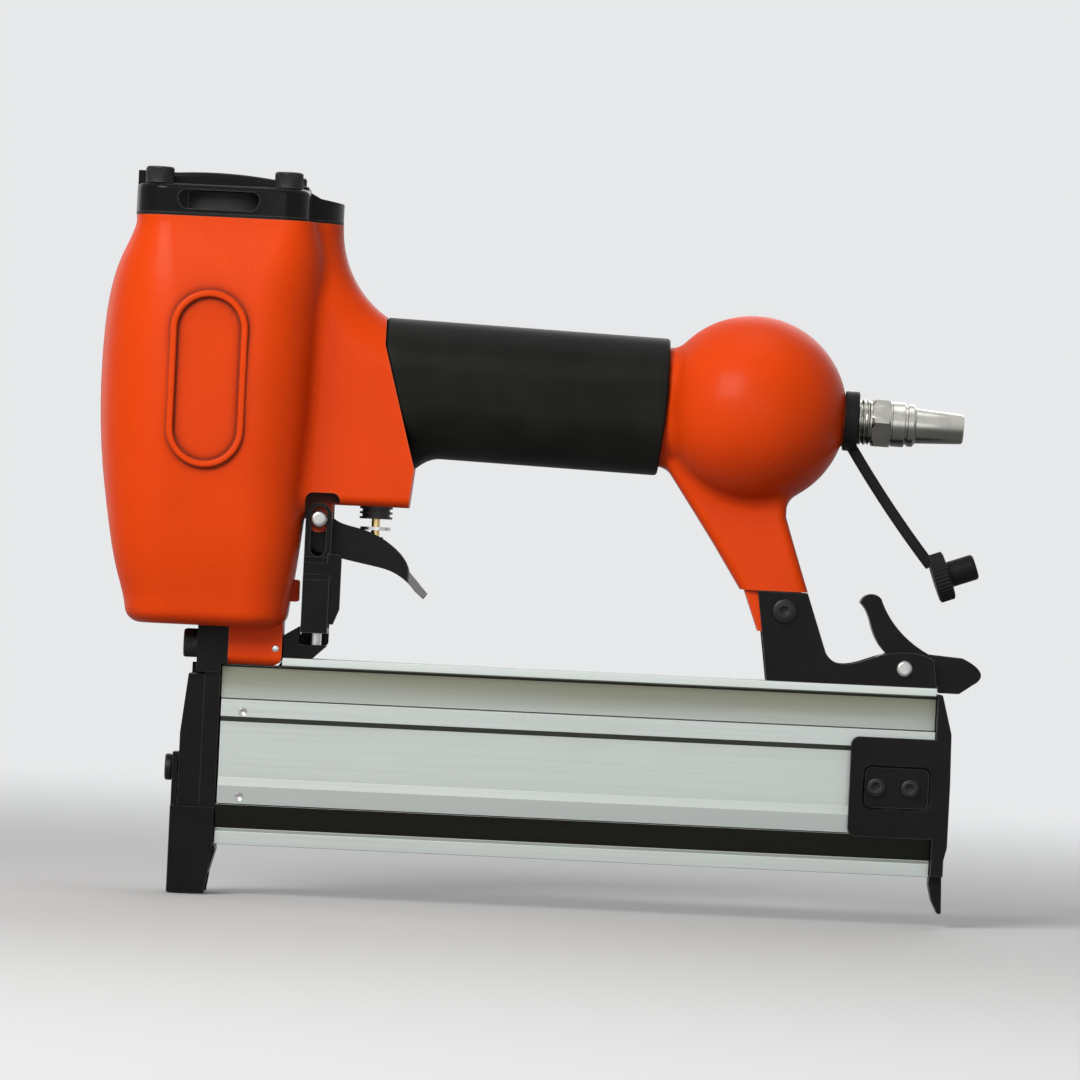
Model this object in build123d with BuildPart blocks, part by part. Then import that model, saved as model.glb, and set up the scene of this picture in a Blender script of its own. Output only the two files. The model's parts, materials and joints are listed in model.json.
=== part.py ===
"""A pneumatic brad nailer, built piece by piece in one frame.

Sizes are in millimetres. The origin lies on the sole of the contact foot, under the
driver. +Z runs up the driver, +X to the rear of the tool and +Y to its far side.
"""

import os
from math import cos, pi, radians, sin, sqrt, tan

from build123d import *

os.makedirs("parts", exist_ok=True)

# Fits shared by every piece
slide_gap = 0.3
shaft_gap = 0.05
seat_gap = 0.05
overcut = 1.0
sheet = 1.6
head_bevel_share = 0.12
key_depth_share = 0.5
coil_steps = 4
coil_samples = 24

# Barrel of the casting: share of its height, front x, rear x, half depth, corner radius
barrel_bottom_z = 80.5
barrel_top_z = 202.5
barrel_stations = (
    (0.000, -24.0, 24.0, 24.6, 13.0),
    (0.127, -27.2, 25.8, 27.0, 15.0),
    (0.258, -30.6, 27.6, 29.2, 18.0),
    (0.406, -33.3, 29.4, 30.7, 21.0),
    (0.553, -34.5, 30.6, 31.3, 22.0),
    (0.701, -34.3, 31.2, 31.0, 22.0),
    (0.816, -32.8, 31.4, 30.0, 20.0),
    (0.898, -29.9, 31.0, 28.4, 16.0),
    (0.955, -26.8, 29.5, 26.8, 12.0),
    (1.000, -25.9, 28.0, 26.0, 9.5),
)
barrel_half_depth = 31.3
barrel_lower_round = 5.0

# Root of the handle behind the barrel
root_half_width = 17.0
root_top_x = 35.8
root_arc_radius = 32.0
root_round = 14.0
root_bottom_z = 118.4
root_rear_x = 59.4
root_lower_round = 3.0
root_overlap = 26.0
crease_radius = 6.0

# Handle, its hollow and the ball at its rear
handle_slope = 1.6
handle_axis_z = 156.2
handle_core_height = 36.0
handle_core_width = 29.0
handle_core_round = 13.5
handle_bore_radius = 11.0
ball_x = 161.2
ball_radius = 28.7
ball_rise = 0.8
ball_wall = 4.4
ball_blend = 6.0
inlet_boss_radius = 7.8
inlet_boss_reach = 29.2

# Grip sleeve
grip_height = 41.4
grip_width = 34.0
grip_round = 16.0
grip_front_top_x = 50.3
grip_knee_drop = 8.5
grip_front_low_x = 60.6
grip_rear_top_x = 135.8
grip_rear_low_x = 133.3
grip_toe_reach = 6.6
grip_toe_drop = 3.6
grip_toe_half = 11.0
grip_relief = 0.7
grip_relief_run = 3.0

# Leg from the ball to the magazine, with the tang that the bracket holds
leg_half_width = 9.5
leg_bottom_z = 98.7
leg_front_low_x = 160.2
leg_front_mid = (151.7, 111.9)
leg_knee = (145.1, 121.6)
leg_top = (131.0, 142.0)
leg_waist = (172.9, 121.0)
leg_rear_mid = (175.5, 113.2)
leg_rear_low_x = 180.5
leg_edge_round = 3.0
tang_front_x = 161.4
tang_low_x = 166.0
tang_rear_x = 178.6
tang_half_width = 7.8
tang_bottom_z = 86.5

# Badge recess on each side of the barrel
badge_x = -2.0
badge_z = 154.0
badge_width = 23.3
badge_height = 53.0
badge_rim = 2.2
badge_proud = 1.0
badge_depth = 1.6
badge_edge_round = 0.85

# Boss under the barrel that takes the nose screws
boss_front_x = 7.3
boss_rear_x = 23.4
boss_half_width = 10.6
boss_bottom_z = 69.2
boss_round = 3.0

# Lug behind the barrel, in front of the safety yoke
lug_root_x = 20.0
lug_rear_x = 27.6
lug_half_width = 6.0
lug_low_z = 88.7
lug_high_z = 95.3
lug_round = 0.8

# Trigger, its ears and its pin
trigger_pin_x = 32.8
trigger_pin_z = 113.9
trigger_pin_radius = 2.0
trigger_pin_head_radius = 2.6
trigger_pin_head = 1.7
trigger_pin_dome = 1.2
pin_clip_radius = 4.0
pin_clip_thickness = 1.0
pin_clip_mouth = 3.0
trigger_half_width = 6.0
trigger_wall = 1.5
trigger_web = 2.0
trigger_top = (
    (36.3, 114.8),
    (38.8, 113.2),
    (43.7, 111.9),
    (47.7, 110.8),
    (51.3, 109.2),
    (55.2, 106.6),
    (58.6, 103.2),
    (60.4, 99.2),
)
trigger_tip = ((66.2, 92.9), (65.0, 91.2))
trigger_finger = (
    (62.2, 93.6),
    (58.9, 96.9),
    (55.0, 99.1),
    (49.0, 100.6),
    (40.5, 102.2),
    (32.5, 104.1),
)
trigger_front_x = 28.9
trigger_crown_x = 31.8
trigger_crown_z = 118.0
ear_thickness = 4.0
ear_gap = 0.6
ear_radius = 4.0
ear_root_x = 24.0
pocket_rear_x = 38.9
pocket_room = 0.7
pocket_mouth_z = 121.8
pocket_round = 2.4

# Cylinder, bumper, piston and head valve
cylinder_radius = 17.0
cylinder_wall = 2.0
cylinder_top_z = 190.0
collar_radius = 20.2
collar_middle_z = 124.0
collar_height = 7.0
collar_ring_wire = 1.1
port_radius = 1.3
port_count = 8
port_low_rise = 6.0
port_collar_drop = 3.0
floor_thickness = 6.0
floor_seat_depth = 3.5
driver_hole_radius = 4.6
return_radius = 21.5
chamber_radius = 25.6
chamber_top_drop = 18.5
collar_seat_margin = 1.0
piston_height = 18.0
piston_top_drop = 0.5
piston_ring_wire = 1.2
piston_ring_drop = 6.0
bumper_gap = 0.3
bumper_chamfer = 1.0
valve_bore_radius = 21.5
head_valve_height = 9.0
head_valve_floor = 4.0
head_valve_wall = 3.6
head_valve_hole_radius = 8.0
head_ring_wire = 1.1
head_ring_rise = 6.6
head_spring_radius = 11.5
head_spring_wire = 0.8
head_spring_turns = 4

# Driver blade
driver_thickness = 1.0
driver_width = 3.0
driver_head_width = 8.0
driver_head_height = 10.9
driver_tail = 7.5
driver_pin_radius = 1.2
driver_pin_length = 24.0
driver_pin_rise = 3.8
driver_rest_tip_z = 68.8
driver_end_gap = 0.3

# Cylinder cap with its gasket, muffler and screws
gasket_thickness = 0.8
cap_height = 8.7
cap_front_x = -26.0
cap_rear_x = 26.0
cap_half_depth = 26.0
cap_corner = 9.5
cap_tongue_half = 15.0
cap_tongue_drop = 3.4
cap_step_x = 24.8
cap_step_run = 4.2
cap_step_drop = 2.2
cap_edge_round = 1.6
spine_half = 14.0
spine_lip_rise = 3.9
spine_lip_rear_x = -21.4
spine_front_rise = 3.0
spine_middle_rise = 4.1
spine_rear_rise = 1.1
spine_rear_x = 25.2
spine_sink = 2.4
spine_round = 1.4
cap_bore_radius = 20.8
cap_bore_depth = 6.7
cap_post_radius = 6.0
cap_post_length = 5.0
window_front_x = -15.0
window_rear_x = 12.6
window_rise = 1.3
window_height = 5.7
window_slant = 3.0
window_round = 2.4
window_inner_y = 18.0
muffler_wall = 3.0
muffler_rise = 0.8
cap_bolt_offset = 19.3
cap_bolt_radius = 2.5
cap_bolt_length = 26.0
cap_bolt_head_radius = 4.25
cap_bolt_head = 5.0
cap_bolt_key = 4.0
bolt_end_room = 1.0

# Nose: driver guide behind the driver, guide cover in front
nose_half_width = 9.2
nose_head_z = 66.5
guide_front_x = 0.65
guide_rear_x = 5.4
guide_toe_x = 6.0
guide_toe_low_x = 4.2
guide_toe_top_z = 14.4
guide_toe_low_z = 13.0
guide_head_front_x = -2.0
nose_cover_front_x = -6.0
nose_cover_top_x = -4.2
nose_cover_slope_z = 48.0
nose_cover_top_z = 65.8
channel_half_width = 1.8
channel_depth = 1.3
nose_bolt_y = 6.3
nose_bolt_z = 74.9
nose_bolt_length = 22.0
nose_bolt_radius = 2.5
nose_bolt_head_radius = 4.25
nose_bolt_head = 4.2
nose_bolt_key = 4.0
cover_screw_y = 5.8
cover_screw_high_z = 44.0
cover_screw_low_z = 12.0
cover_screw_radius = 1.5
cover_screw_head_radius = 2.8
cover_screw_head = 1.7
cover_screw_length = 9.0

# Contact foot, safety link, yoke and return spring
foot_travel = 6.0
foot_gap = 0.4
foot_wrap_height = 26.0
foot_strip_half = 6.5
foot_fold_round = 1.3
foot_strip_height = 42.0
foot_side_rear_x = 5.2
foot_toe_rear_x = 3.3
foot_toe_height = 13.0
foot_screw_z = 37.2
foot_screw_radius = 1.9
foot_screw_head_radius = 4.0
foot_screw_head = 2.1
foot_screw_depth = 3.6
foot_screw_key = 2.5
arm_half = 4.0
arm_top_rise = 4.8
arm_bottom_z = 79.6
arm_step = 1.1
arm_first_step_z = 102.4
arm_second_step_z = 97.2
arm_step_height = 1.6
arm_slot_above = 1.6
arm_slot_room = 0.6
arm_slot_spare = 2.3
wing_rear_x = 40.2
wing_foot = (38.4, 82.4)
wing_heel_z = 87.0
wing_high_z = 103.6
wing_lap = 0.8
arm_ear_gap = 0.5
link_low_z = 8.0
link_half = 4.0
link_run_low_z = 61.0
link_run_high_z = 69.0
link_turn_x = 22.0
link_neck = (31.0, 70.5)
link_rise_z = 76.4
base_gap = 0.3
base_rear_x = 36.5
base_half_width = 9.0
base_height = 4.2
gusset_rear_x = 28.3
gusset_front_z = 78.5
gusset_rear_z = 81.4
base_low_rear_x = 32.4
base_undercut = 3.8
post_sink = 0.8
post_radius = 2.1
post_head_radius = 3.6
post_head = 1.5
safety_spring_length = 10.3
safety_spring_wire = 0.35
safety_spring_turns = 5

# Trigger valve
valve_x = 49.6
valve_nose_radius = 4.95
valve_nose_reach = 3.7
valve_groove_radius = 4.2
valve_groove_height = 0.8
valve_groove_drops = (0.7, 2.2)
valve_body_radius = 6.4
valve_body_height = 22.5
valve_ring_wire = 0.7
valve_ring_rises = (4.5, 15.0)
valve_chamber_radius = 3.6
valve_chamber_rise = 2.6
valve_chamber_height = 18.0
valve_vent_radius = 1.5
stem_radius = 1.3
stem_tip_drop = 8.8
stem_head_radius = 3.2
stem_head_height = 3.2
stem_head_rise = 3.0
stem_tail_radius = 1.2
stem_tail = 3.8
stem_ring_wire = 0.6
stem_clip_radius = 4.6
stem_clip_thickness = 1.0
stem_clip_drop = 6.6
valve_spring_radius = 2.5
valve_spring_wire = 0.25
valve_spring_turns = 6
trip_gap = 0.3
trip_thickness = 1.5
trip_front_x = 38.0
trip_rear_x = 52.0

# Magazine: fixed rail and sliding cover
mag_front_x = 5.7
mag_rear_x = 220.5
mag_top_z = 71.7
mag_bottom_z = 15.0
flange_half = 9.5
flange_thickness = 2.3
neck_half = 7.0
neck_bevel = 1.0
shelf_z = 58.9
far_face_y = 10.5
far_bevel = 1.4
ledge_z = 27.1
ledge_half = 11.6
skirt_half = 8.0
skirt_z = 19.8
sole_half = 9.0
sole_thickness = 3.9
nail_slot_half = 0.75
nail_slot_bottom_z = 17.0
nail_slot_top_z = 68.4
groove_y = -3.3
groove_half = 1.1
groove_depth = 2.4
core_wall = 1.9
core_floor = 3.0
rib_half = 12.0
panel_half = 10.5
upper_rib_z = 53.5
upper_panel_z = 52.0
lower_panel_z = 35.2
lower_rib_z = 32.8
cover_start_gap = 0.4
track_y = -5.6
track_half = 3.7
track_z = 43.0
track_half_height = 9.0
track_slot_half = 3.0
dimple_x = 12.7
dimple_high_z = 54.9
dimple_low_z = 29.4
dimple_radius = 1.3
dimple_depth = 0.9
notch_gap = 0.25
mag_screw_y = 4.4
mag_screw_high_z = 63.0
mag_screw_low_z = 22.8
mag_screw_radius = 1.5
mag_screw_head_radius = 2.8
mag_screw_head = 2.2
mag_screw_length = 13.0

# Pusher with its rod and spring
pusher_length = 20.0
pusher_front_gap = 2.2
blade_half = 0.45
blade_length = 16.0
rod_radius = 2.0
rod_front_gap = 4.0
rod_end_depth = 2.2
pusher_spring_radius = 2.9
pusher_spring_wire = 0.35
pusher_spring_turns = 34

# Tail plate that closes the cover
tail_gap = 0.3
tail_side = 2.2
tail_side_front_x = 195.4
tail_side_low_z = 26.4
tail_side_high_z = 56.4
tail_side_round = 2.5
tail_pad_front_x = 198.0
tail_bulge_x = 225.6
tail_top_z = 69.8
tail_top_x = 222.2
tail_shoulder = (225.3, 58.2)
tail_hip = (225.5, 24.2)
tail_waist = (224.6, 20.3)
tail_low_z = 15.4
tail_far_y = 10.0
pull_half = 6.0
pull_tip = (223.9, 3.9)
pull_back = (225.0, 4.1)
pull_hollow = (221.9, 7.8)
pull_neck_z = 12.4
recess_front_x = 200.0
recess_rear_x = 219.2
recess_low_z = 35.3
recess_high_z = 47.4
recess_depth = 0.8
recess_round = 2.0
recess_slope = 0.6
tail_screw_x = (203.4, 213.6)
tail_screw_z = 41.4
tail_screw_radius = 1.5
tail_screw_head_radius = 2.75
tail_screw_head = 1.9
tail_screw_key = 2.5
tail_screw_length = 3.6

# Rear bracket, latch and their fastenings
bracket_gap = 0.1
bracket_web_front_x = 170.2
bracket_web_rear_x = 206.6
bracket_top = ((165.4, 98.5), (180.4, 98.5))
bracket_curve = (
    (186.6, 81.0),
    (190.3, 78.0),
    (195.6, 78.3),
    (202.5, 80.7),
    (210.1, 82.1),
    (219.3, 80.2),
)
bracket_rear_low_x = 220.4
bracket_front_low_x = 169.2
bracket_screw_x = 173.6
bracket_screw_z = 92.9
bracket_screw_radius = 2.0
bracket_screw_head_radius = 3.6
bracket_screw_head = 2.3
bracket_screw_key = 2.5
bracket_nut_width = 7.0
bracket_nut_height = 3.2
bracket_screw_spare = 0.8
web_screw_x = (180.0, 194.0)
web_screw_y = 4.9
web_screw_radius = 1.4
web_screw_head_radius = 2.6
web_screw_head = 1.6
web_screw_length = 8.0
web_screw_key = 2.0
latch_pin_x = 210.4
latch_pin_z = 77.2
latch_pin_radius = 2.0
latch_pin_head_radius = 2.5
latch_pin_head = 1.5
latch_pin_dome = 1.0
latch_half_width = 5.5
latch_boss_radius = 4.4
latch_lever = (
    (204.9, 81.6),
    (202.4, 84.4),
    (200.6, 87.8),
    (199.3, 91.8),
    (196.4, 96.4),
)
latch_tip = (199.3, 99.1)
latch_front = (
    (202.8, 97.7),
    (205.8, 92.0),
    (210.7, 86.5),
    (217.8, 81.8),
)
latch_back = (
    (227.9, 81.1),
    (230.7, 79.7),
    (233.6, 76.8),
    (231.4, 73.2),
)
latch_hook_rear_x = 227.4
latch_hook_front_x = 221.3
latch_throat = (220.9, 72.4)
latch_seat_front_x = 201.7
latch_seat_z = 78.4
latch_nose_z = 80.2
hook_clearance = 0.5
latch_spring_x = 203.6
latch_spring_radius = 1.6
latch_spring_wire = 0.3
latch_spring_turns = 3

# Air plug along the handle axis, measured from the middle of the ball
plug_thread_radius = 6.5
plug_thread_start = 17.0
plug_collar_radius = 6.9
plug_collar_end = 36.2
plug_hex_flats = 14.0
plug_hex_end = 42.0
plug_shoulder_radius = 6.7
plug_shoulder_end = 46.3
plug_groove_radius = 5.9
plug_groove = 0.7
plug_ring_radius = 6.4
plug_ring_end = 49.6
plug_cone_radius = 5.3
plug_tip_radius = 4.5
plug_tip_end = 64.0
plug_tip_chamfer = 0.6
plug_bore_radius = 2.6

# Dust cap that hangs from the plug by its own strap
cap_ring_radius = 9.0
cap_ring_thickness = 2.8
cap_ring_start_gap = 0.2
strap_thickness = 2.8
strap_width = 5.0
strap_sink = 0.9
strap_middle = (204.2, 125.0)
strap_low = (217.2, 108.4)
bung_x = 220.6
bung_z = 105.2
bung_tilt = 20.0
bung_radius = 7.1
bung_thickness = 5.0
bung_ribs = 24
bung_rib_radius = 0.5
bung_stem_radius = 3.9
bung_stem = 8.4

# Places that follow from those sizes
upward = (Align.CENTER, Align.CENTER, Align.MIN)
downward = (Align.CENTER, Align.CENTER, Align.MAX)
slope = radians(handle_slope)
handle_direction = Vector(cos(slope), 0, -sin(slope))
nose_tip_z = foot_travel
stroke = driver_rest_tip_z - nose_tip_z - driver_end_gap
cylinder_low_z = barrel_bottom_z + floor_thickness
cylinder_outer = cylinder_radius + cylinder_wall
piston_top_z = cylinder_top_z - piston_top_drop
piston_low_z = piston_top_z - piston_height
bumper_top_z = piston_low_z - stroke - bumper_gap
head_valve_low_z = cylinder_top_z + slide_gap
head_valve_radius = valve_bore_radius - slide_gap
cap_low_z = barrel_top_z + gasket_thickness
cap_top_z = cap_low_z + cap_height
cap_ceiling_z = cap_low_z + cap_bore_depth
pocket_top_z = trigger_pin_z + arm_top_rise + foot_travel + pocket_room
ear_inner = trigger_half_width + ear_gap
ear_outer = ear_inner + ear_thickness
arm_inner = ear_outer + arm_ear_gap
arm_outer = arm_inner + sheet
arm_front_x = trigger_pin_x - arm_half
arm_rear_x = trigger_pin_x + arm_half
foot_side_inner = arm_inner - sheet
foot_back_x = nose_cover_front_x - foot_gap
foot_front_x = foot_back_x - sheet
valve_low_z = root_bottom_z - valve_nose_reach
chamber_floor_z = root_bottom_z + valve_chamber_rise
chamber_top_z = chamber_floor_z + valve_chamber_height
stem_head_z = chamber_floor_z + stem_head_rise
cover_low_z = ledge_z + slide_gap
cover_high_z = shelf_z - slide_gap
cover_front_x = mag_front_x + cover_start_gap
pusher_front_x = cover_front_x + pusher_front_gap
pusher_rear_x = pusher_front_x + pusher_length
tail_front_x = mag_rear_x + tail_gap
bracket_inner = tang_half_width + bracket_gap
bracket_outer = bracket_inner + sheet
web_top_z = mag_top_z + seat_gap + sheet


def handle_z(x):
    """Height of the handle axis at x."""
    return handle_axis_z - x * tan(slope)


def along_handle(x):
    """Plane across the handle axis at x: x to the far side, y up."""
    return Plane(origin=(x, 0, handle_z(x)), x_dir=(0, 1, 0), z_dir=handle_direction)


def beside(y):
    """Side-view plane at depth y: x to the rear, y up, extruding to the near side."""
    return Plane(origin=(0, y, 0), x_dir=(1, 0, 0), z_dir=(0, -1, 0))


def across(x):
    """Front-view plane at x: x to the far side, y up, extruding to the rear."""
    return Plane(origin=(x, 0, 0), x_dir=(0, 1, 0), z_dir=(1, 0, 0))


def facing(x, y, z, direction):
    """Plane at a point with its normal along direction."""
    return Plane(origin=(x, y, z), z_dir=direction)


def outline(plane, points):
    """A flat face with straight sides."""
    with BuildSketch(plane) as face:
        with BuildLine():
            Polyline(*points, close=True)
        make_face()
    return face.sketch


def edges_within(edges, low, high):
    """The edges whose middle lies in the box from low to high."""
    found = ShapeList()
    for edge in edges:
        point = edge @ 0.5
        inside_x = low[0] < point.X < high[0]
        inside_y = low[1] < point.Y < high[1]
        inside_z = low[2] < point.Z < high[2]
        if inside_x and inside_y and inside_z:
            found.append(edge)
    return found


def socket_screw(head_radius, head_height, shank_radius, shank_length, key_width):
    """A socket-head screw with its head on z = 0 and its shank below."""
    with BuildPart() as screw:
        Cylinder(head_radius, head_height, align=upward)
        chamfer(screw.edges().group_by(Axis.Z)[-1], head_height * head_bevel_share)
        with BuildSketch(Plane.XY.offset(head_height)):
            RegularPolygon(key_width / 2, 6, major_radius=False)
        extrude(amount=-head_height * key_depth_share, mode=Mode.SUBTRACT)
        Cylinder(shank_radius, shank_length, align=downward)
    return screw.part


def coil(mean_radius, wire_radius, length, turns):
    """A spring standing on z = 0, wound from two tangent arcs to each quarter turn."""
    rise_per_turn = (length - 2 * wire_radius) / turns

    def point_at(turn):
        angle = 2 * pi * turn
        return Vector(mean_radius * cos(angle), mean_radius * sin(angle), wire_radius + rise_per_turn * turn)

    def heading_at(turn):
        angle = 2 * pi * turn
        around = 2 * pi * mean_radius
        return Vector(-around * sin(angle), around * cos(angle), rise_per_turn).normalized()

    with BuildPart() as spring:
        with BuildLine() as path:
            for step in range(turns * coil_steps):
                start = point_at(step / coil_steps)
                end = point_at((step + 1) / coil_steps)
                leaving = heading_at(step / coil_steps)
                arriving = heading_at((step + 1) / coil_steps)
                chord = end - start
                along = chord.dot(leaving + arriving)
                bend = 2 * (1 - leaving.dot(arriving))
                reach = (sqrt(along * along + bend * chord.dot(chord)) - along) / bend
                first_corner = start + leaving * reach
                second_corner = end - arriving * reach
                middle = (first_corner + second_corner) / 2
                TangentArc(start, middle, tangent=leaving)
                TangentArc(middle, end, tangent=second_corner - first_corner)
        with BuildSketch(Plane(origin=path.line @ 0, z_dir=path.line % 0)):
            Circle(wire_radius)
        sweep()

    samples = [point_at(step / coil_samples) for step in range(turns * coil_samples + 1)]
    apart = min(
        (far - near).length
        for place, near in enumerate(samples)
        for far in samples[place + coil_samples // 2 : place + 2 * coil_samples]
    )
    print(f"spring of {turns} turns: least gap to itself {apart - 2 * wire_radius:.2f} mm")
    return spring.part


def keep(piece, name):
    """Label a finished piece and write its file."""
    piece.part.label = name
    export_step(piece.part, f"parts/{name}.step")


# Casting: root, handle, leg, ball and barrel, then its hollows
ball_center = Vector(ball_x, 0, handle_z(ball_x))
ball_middle = ball_center + Vector(0, 0, ball_rise)
grip_top_z = handle_z(grip_front_top_x) + grip_height / 2
grip_knee_z = grip_top_z - grip_knee_drop
grip_toe_z = handle_z(grip_front_low_x) - grip_height / 2 - grip_toe_drop
root_front_x = root_top_x - root_overlap

with BuildPart() as body_casting:
    with BuildSketch(Plane.XZ):
        with BuildLine():
            Polyline((root_front_x, root_bottom_z), (root_front_x, barrel_top_z), (root_top_x, barrel_top_z))
            RadiusArc((root_top_x, barrel_top_z), (grip_front_top_x, grip_top_z), -root_arc_radius)
            Polyline(
                (grip_front_top_x, grip_top_z),
                (grip_front_top_x, grip_knee_z),
                (grip_front_low_x, grip_toe_z),
                (root_rear_x, root_bottom_z),
                (root_front_x, root_bottom_z),
            )
        make_face()
    extrude(amount=root_half_width, both=True)
    fillet(body_casting.edges().filter_by(GeomType.CIRCLE), root_round)
    lower_edges = ShapeList()
    for side in (-root_half_width, root_half_width):
        lower_edges += edges_within(
            body_casting.edges(),
            (root_front_x, side - slide_gap, root_bottom_z - slide_gap),
            (root_rear_x + slide_gap, side + slide_gap, grip_toe_z),
        )
    fillet(lower_edges.filter_by(lambda edge: (edge @ 0.5).X > root_front_x + overcut), root_lower_round)

    with BuildSketch(along_handle(root_front_x)):
        RectangleRounded(handle_core_width, handle_core_height, handle_core_round)
    extrude(amount=ball_x - root_front_x)

    with BuildSketch(Plane.XZ):
        with BuildLine():
            Polyline(
                (leg_front_low_x, leg_bottom_z),
                leg_front_mid,
                leg_knee,
                leg_top,
                (leg_top[0], ball_center.Z),
                (ball_x, ball_center.Z),
                (leg_waist[0], leg_waist[1] + ball_radius / 2),
                leg_waist,
            )
            ThreePointArc(leg_waist, leg_rear_mid, (leg_rear_low_x, leg_bottom_z))
            Line((leg_rear_low_x, leg_bottom_z), (leg_front_low_x, leg_bottom_z))
        make_face()
    extrude(amount=leg_half_width, both=True)
    leg_edges = ShapeList()
    for side in (-leg_half_width, leg_half_width):
        leg_edges += edges_within(
            body_casting.edges(),
            (leg_top[0], side - slide_gap, leg_bottom_z + slide_gap),
            (leg_rear_low_x, side + slide_gap, leg_waist[1] + ball_radius / 3),
        )
    fillet(leg_edges, leg_edge_round)

    with Locations(ball_middle):
        Sphere(ball_radius)
    blend_edges = body_casting.edges(Select.NEW)
    core_low_z = handle_z(leg_top[0]) - handle_core_height / 2
    blend_edges += edges_within(
        body_casting.edges(),
        (leg_top[0], -leg_half_width / 2, core_low_z - overcut),
        (leg_knee[0], leg_half_width / 2, core_low_z + overcut),
    )
    fillet(blend_edges, ball_blend)

    tang_top_z = leg_bottom_z + leg_edge_round
    tang_outline = outline(
        Plane.XZ,
        (
            (tang_front_x, tang_top_z),
            (tang_front_x, leg_bottom_z),
            (tang_low_x, tang_bottom_z),
            (tang_rear_x, tang_bottom_z),
            (tang_rear_x, tang_top_z),
        ),
    )
    extrude(tang_outline, amount=tang_half_width, both=True)
    with Locations(along_handle(ball_x)):
        Cylinder(inlet_boss_radius, inlet_boss_reach, align=upward)

    for share, front, rear, half_depth, corner in barrel_stations:
        station_z = barrel_bottom_z + share * (barrel_top_z - barrel_bottom_z)
        with BuildSketch(Plane.XY.offset(station_z)):
            with Locations(((front + rear) / 2, 0)):
                RectangleRounded(rear - front, 2 * half_depth, corner)
    loft()
    fillet(body_casting.edges(Select.NEW), crease_radius)
    barrel_edges = body_casting.edges().filter_by_position(Axis.Z, barrel_bottom_z, barrel_bottom_z)
    fillet(barrel_edges, barrel_lower_round)

    with Locations((boss_front_x, 0, boss_bottom_z)):
        Box(
            boss_rear_x - boss_front_x,
            2 * boss_half_width,
            barrel_bottom_z + floor_thickness / 2 - boss_bottom_z,
            align=(Align.MIN, Align.CENTER, Align.MIN),
        )
    boss_edges = body_casting.edges().filter_by_position(Axis.Z, boss_bottom_z, boss_bottom_z)
    fillet(boss_edges.sort_by(Axis.X)[1:], boss_round)
    with Locations((lug_root_x, 0, lug_low_z)):
        Box(
            lug_rear_x - lug_root_x,
            2 * lug_half_width,
            lug_high_z - lug_low_z,
            align=(Align.MIN, Align.CENTER, Align.MIN),
        )
    fillet(body_casting.edges().filter_by_position(Axis.X, lug_rear_x, lug_rear_x), lug_round)

    with BuildSketch(Plane.XZ):
        with Locations((badge_x, badge_z)):
            SlotOverall(badge_height, badge_width, rotation=90)
    extrude(amount=barrel_half_depth + badge_proud, both=True)
    badge_face_y = barrel_half_depth + badge_proud
    for plane_y, depth in ((-badge_face_y, -badge_depth), (badge_face_y, badge_depth)):
        with BuildSketch(beside(plane_y)):
            with Locations((badge_x, badge_z)):
                SlotOverall(badge_height - 2 * badge_rim, badge_width - 2 * badge_rim, rotation=90)
        extrude(amount=depth, mode=Mode.SUBTRACT)
        rim_edges = body_casting.edges().filter_by_position(Axis.Y, plane_y, plane_y)
        fillet(rim_edges, badge_edge_round)

    pocket_front_x = arm_front_x - slide_gap
    pocket_cuts = ((pocket_mouth_z, root_half_width + overcut), (pocket_top_z, arm_outer + slide_gap))
    for cut_top_z, cut_half_width in pocket_cuts:
        with BuildSketch(Plane.XZ) as pocket:
            with Locations((pocket_front_x, cut_top_z)):
                Rectangle(
                    pocket_rear_x - pocket_front_x,
                    cut_top_z - trigger_pin_z + 2 * ear_radius,
                    align=(Align.MIN, Align.MAX),
                )
            fillet(pocket.vertices().group_by(Axis.Y)[-1], pocket_round)
        extrude(amount=cut_half_width, both=True, mode=Mode.SUBTRACT)
    for ear_y in (-ear_inner, ear_outer):
        with BuildSketch(beside(ear_y)):
            with Locations((trigger_pin_x, trigger_pin_z)):
                Circle(ear_radius)
            with Locations((ear_root_x, trigger_pin_z)):
                Rectangle(
                    trigger_pin_x + ear_radius - ear_root_x,
                    pocket_top_z - trigger_pin_z + pocket_room,
                    align=(Align.MIN, Align.MIN),
                )
            with Locations((trigger_pin_x, root_bottom_z)):
                Rectangle(
                    pocket_rear_x - trigger_pin_x + overcut,
                    pocket_top_z - root_bottom_z + pocket_room,
                    align=(Align.MIN, Align.MIN),
                )
        extrude(amount=ear_thickness)

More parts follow.
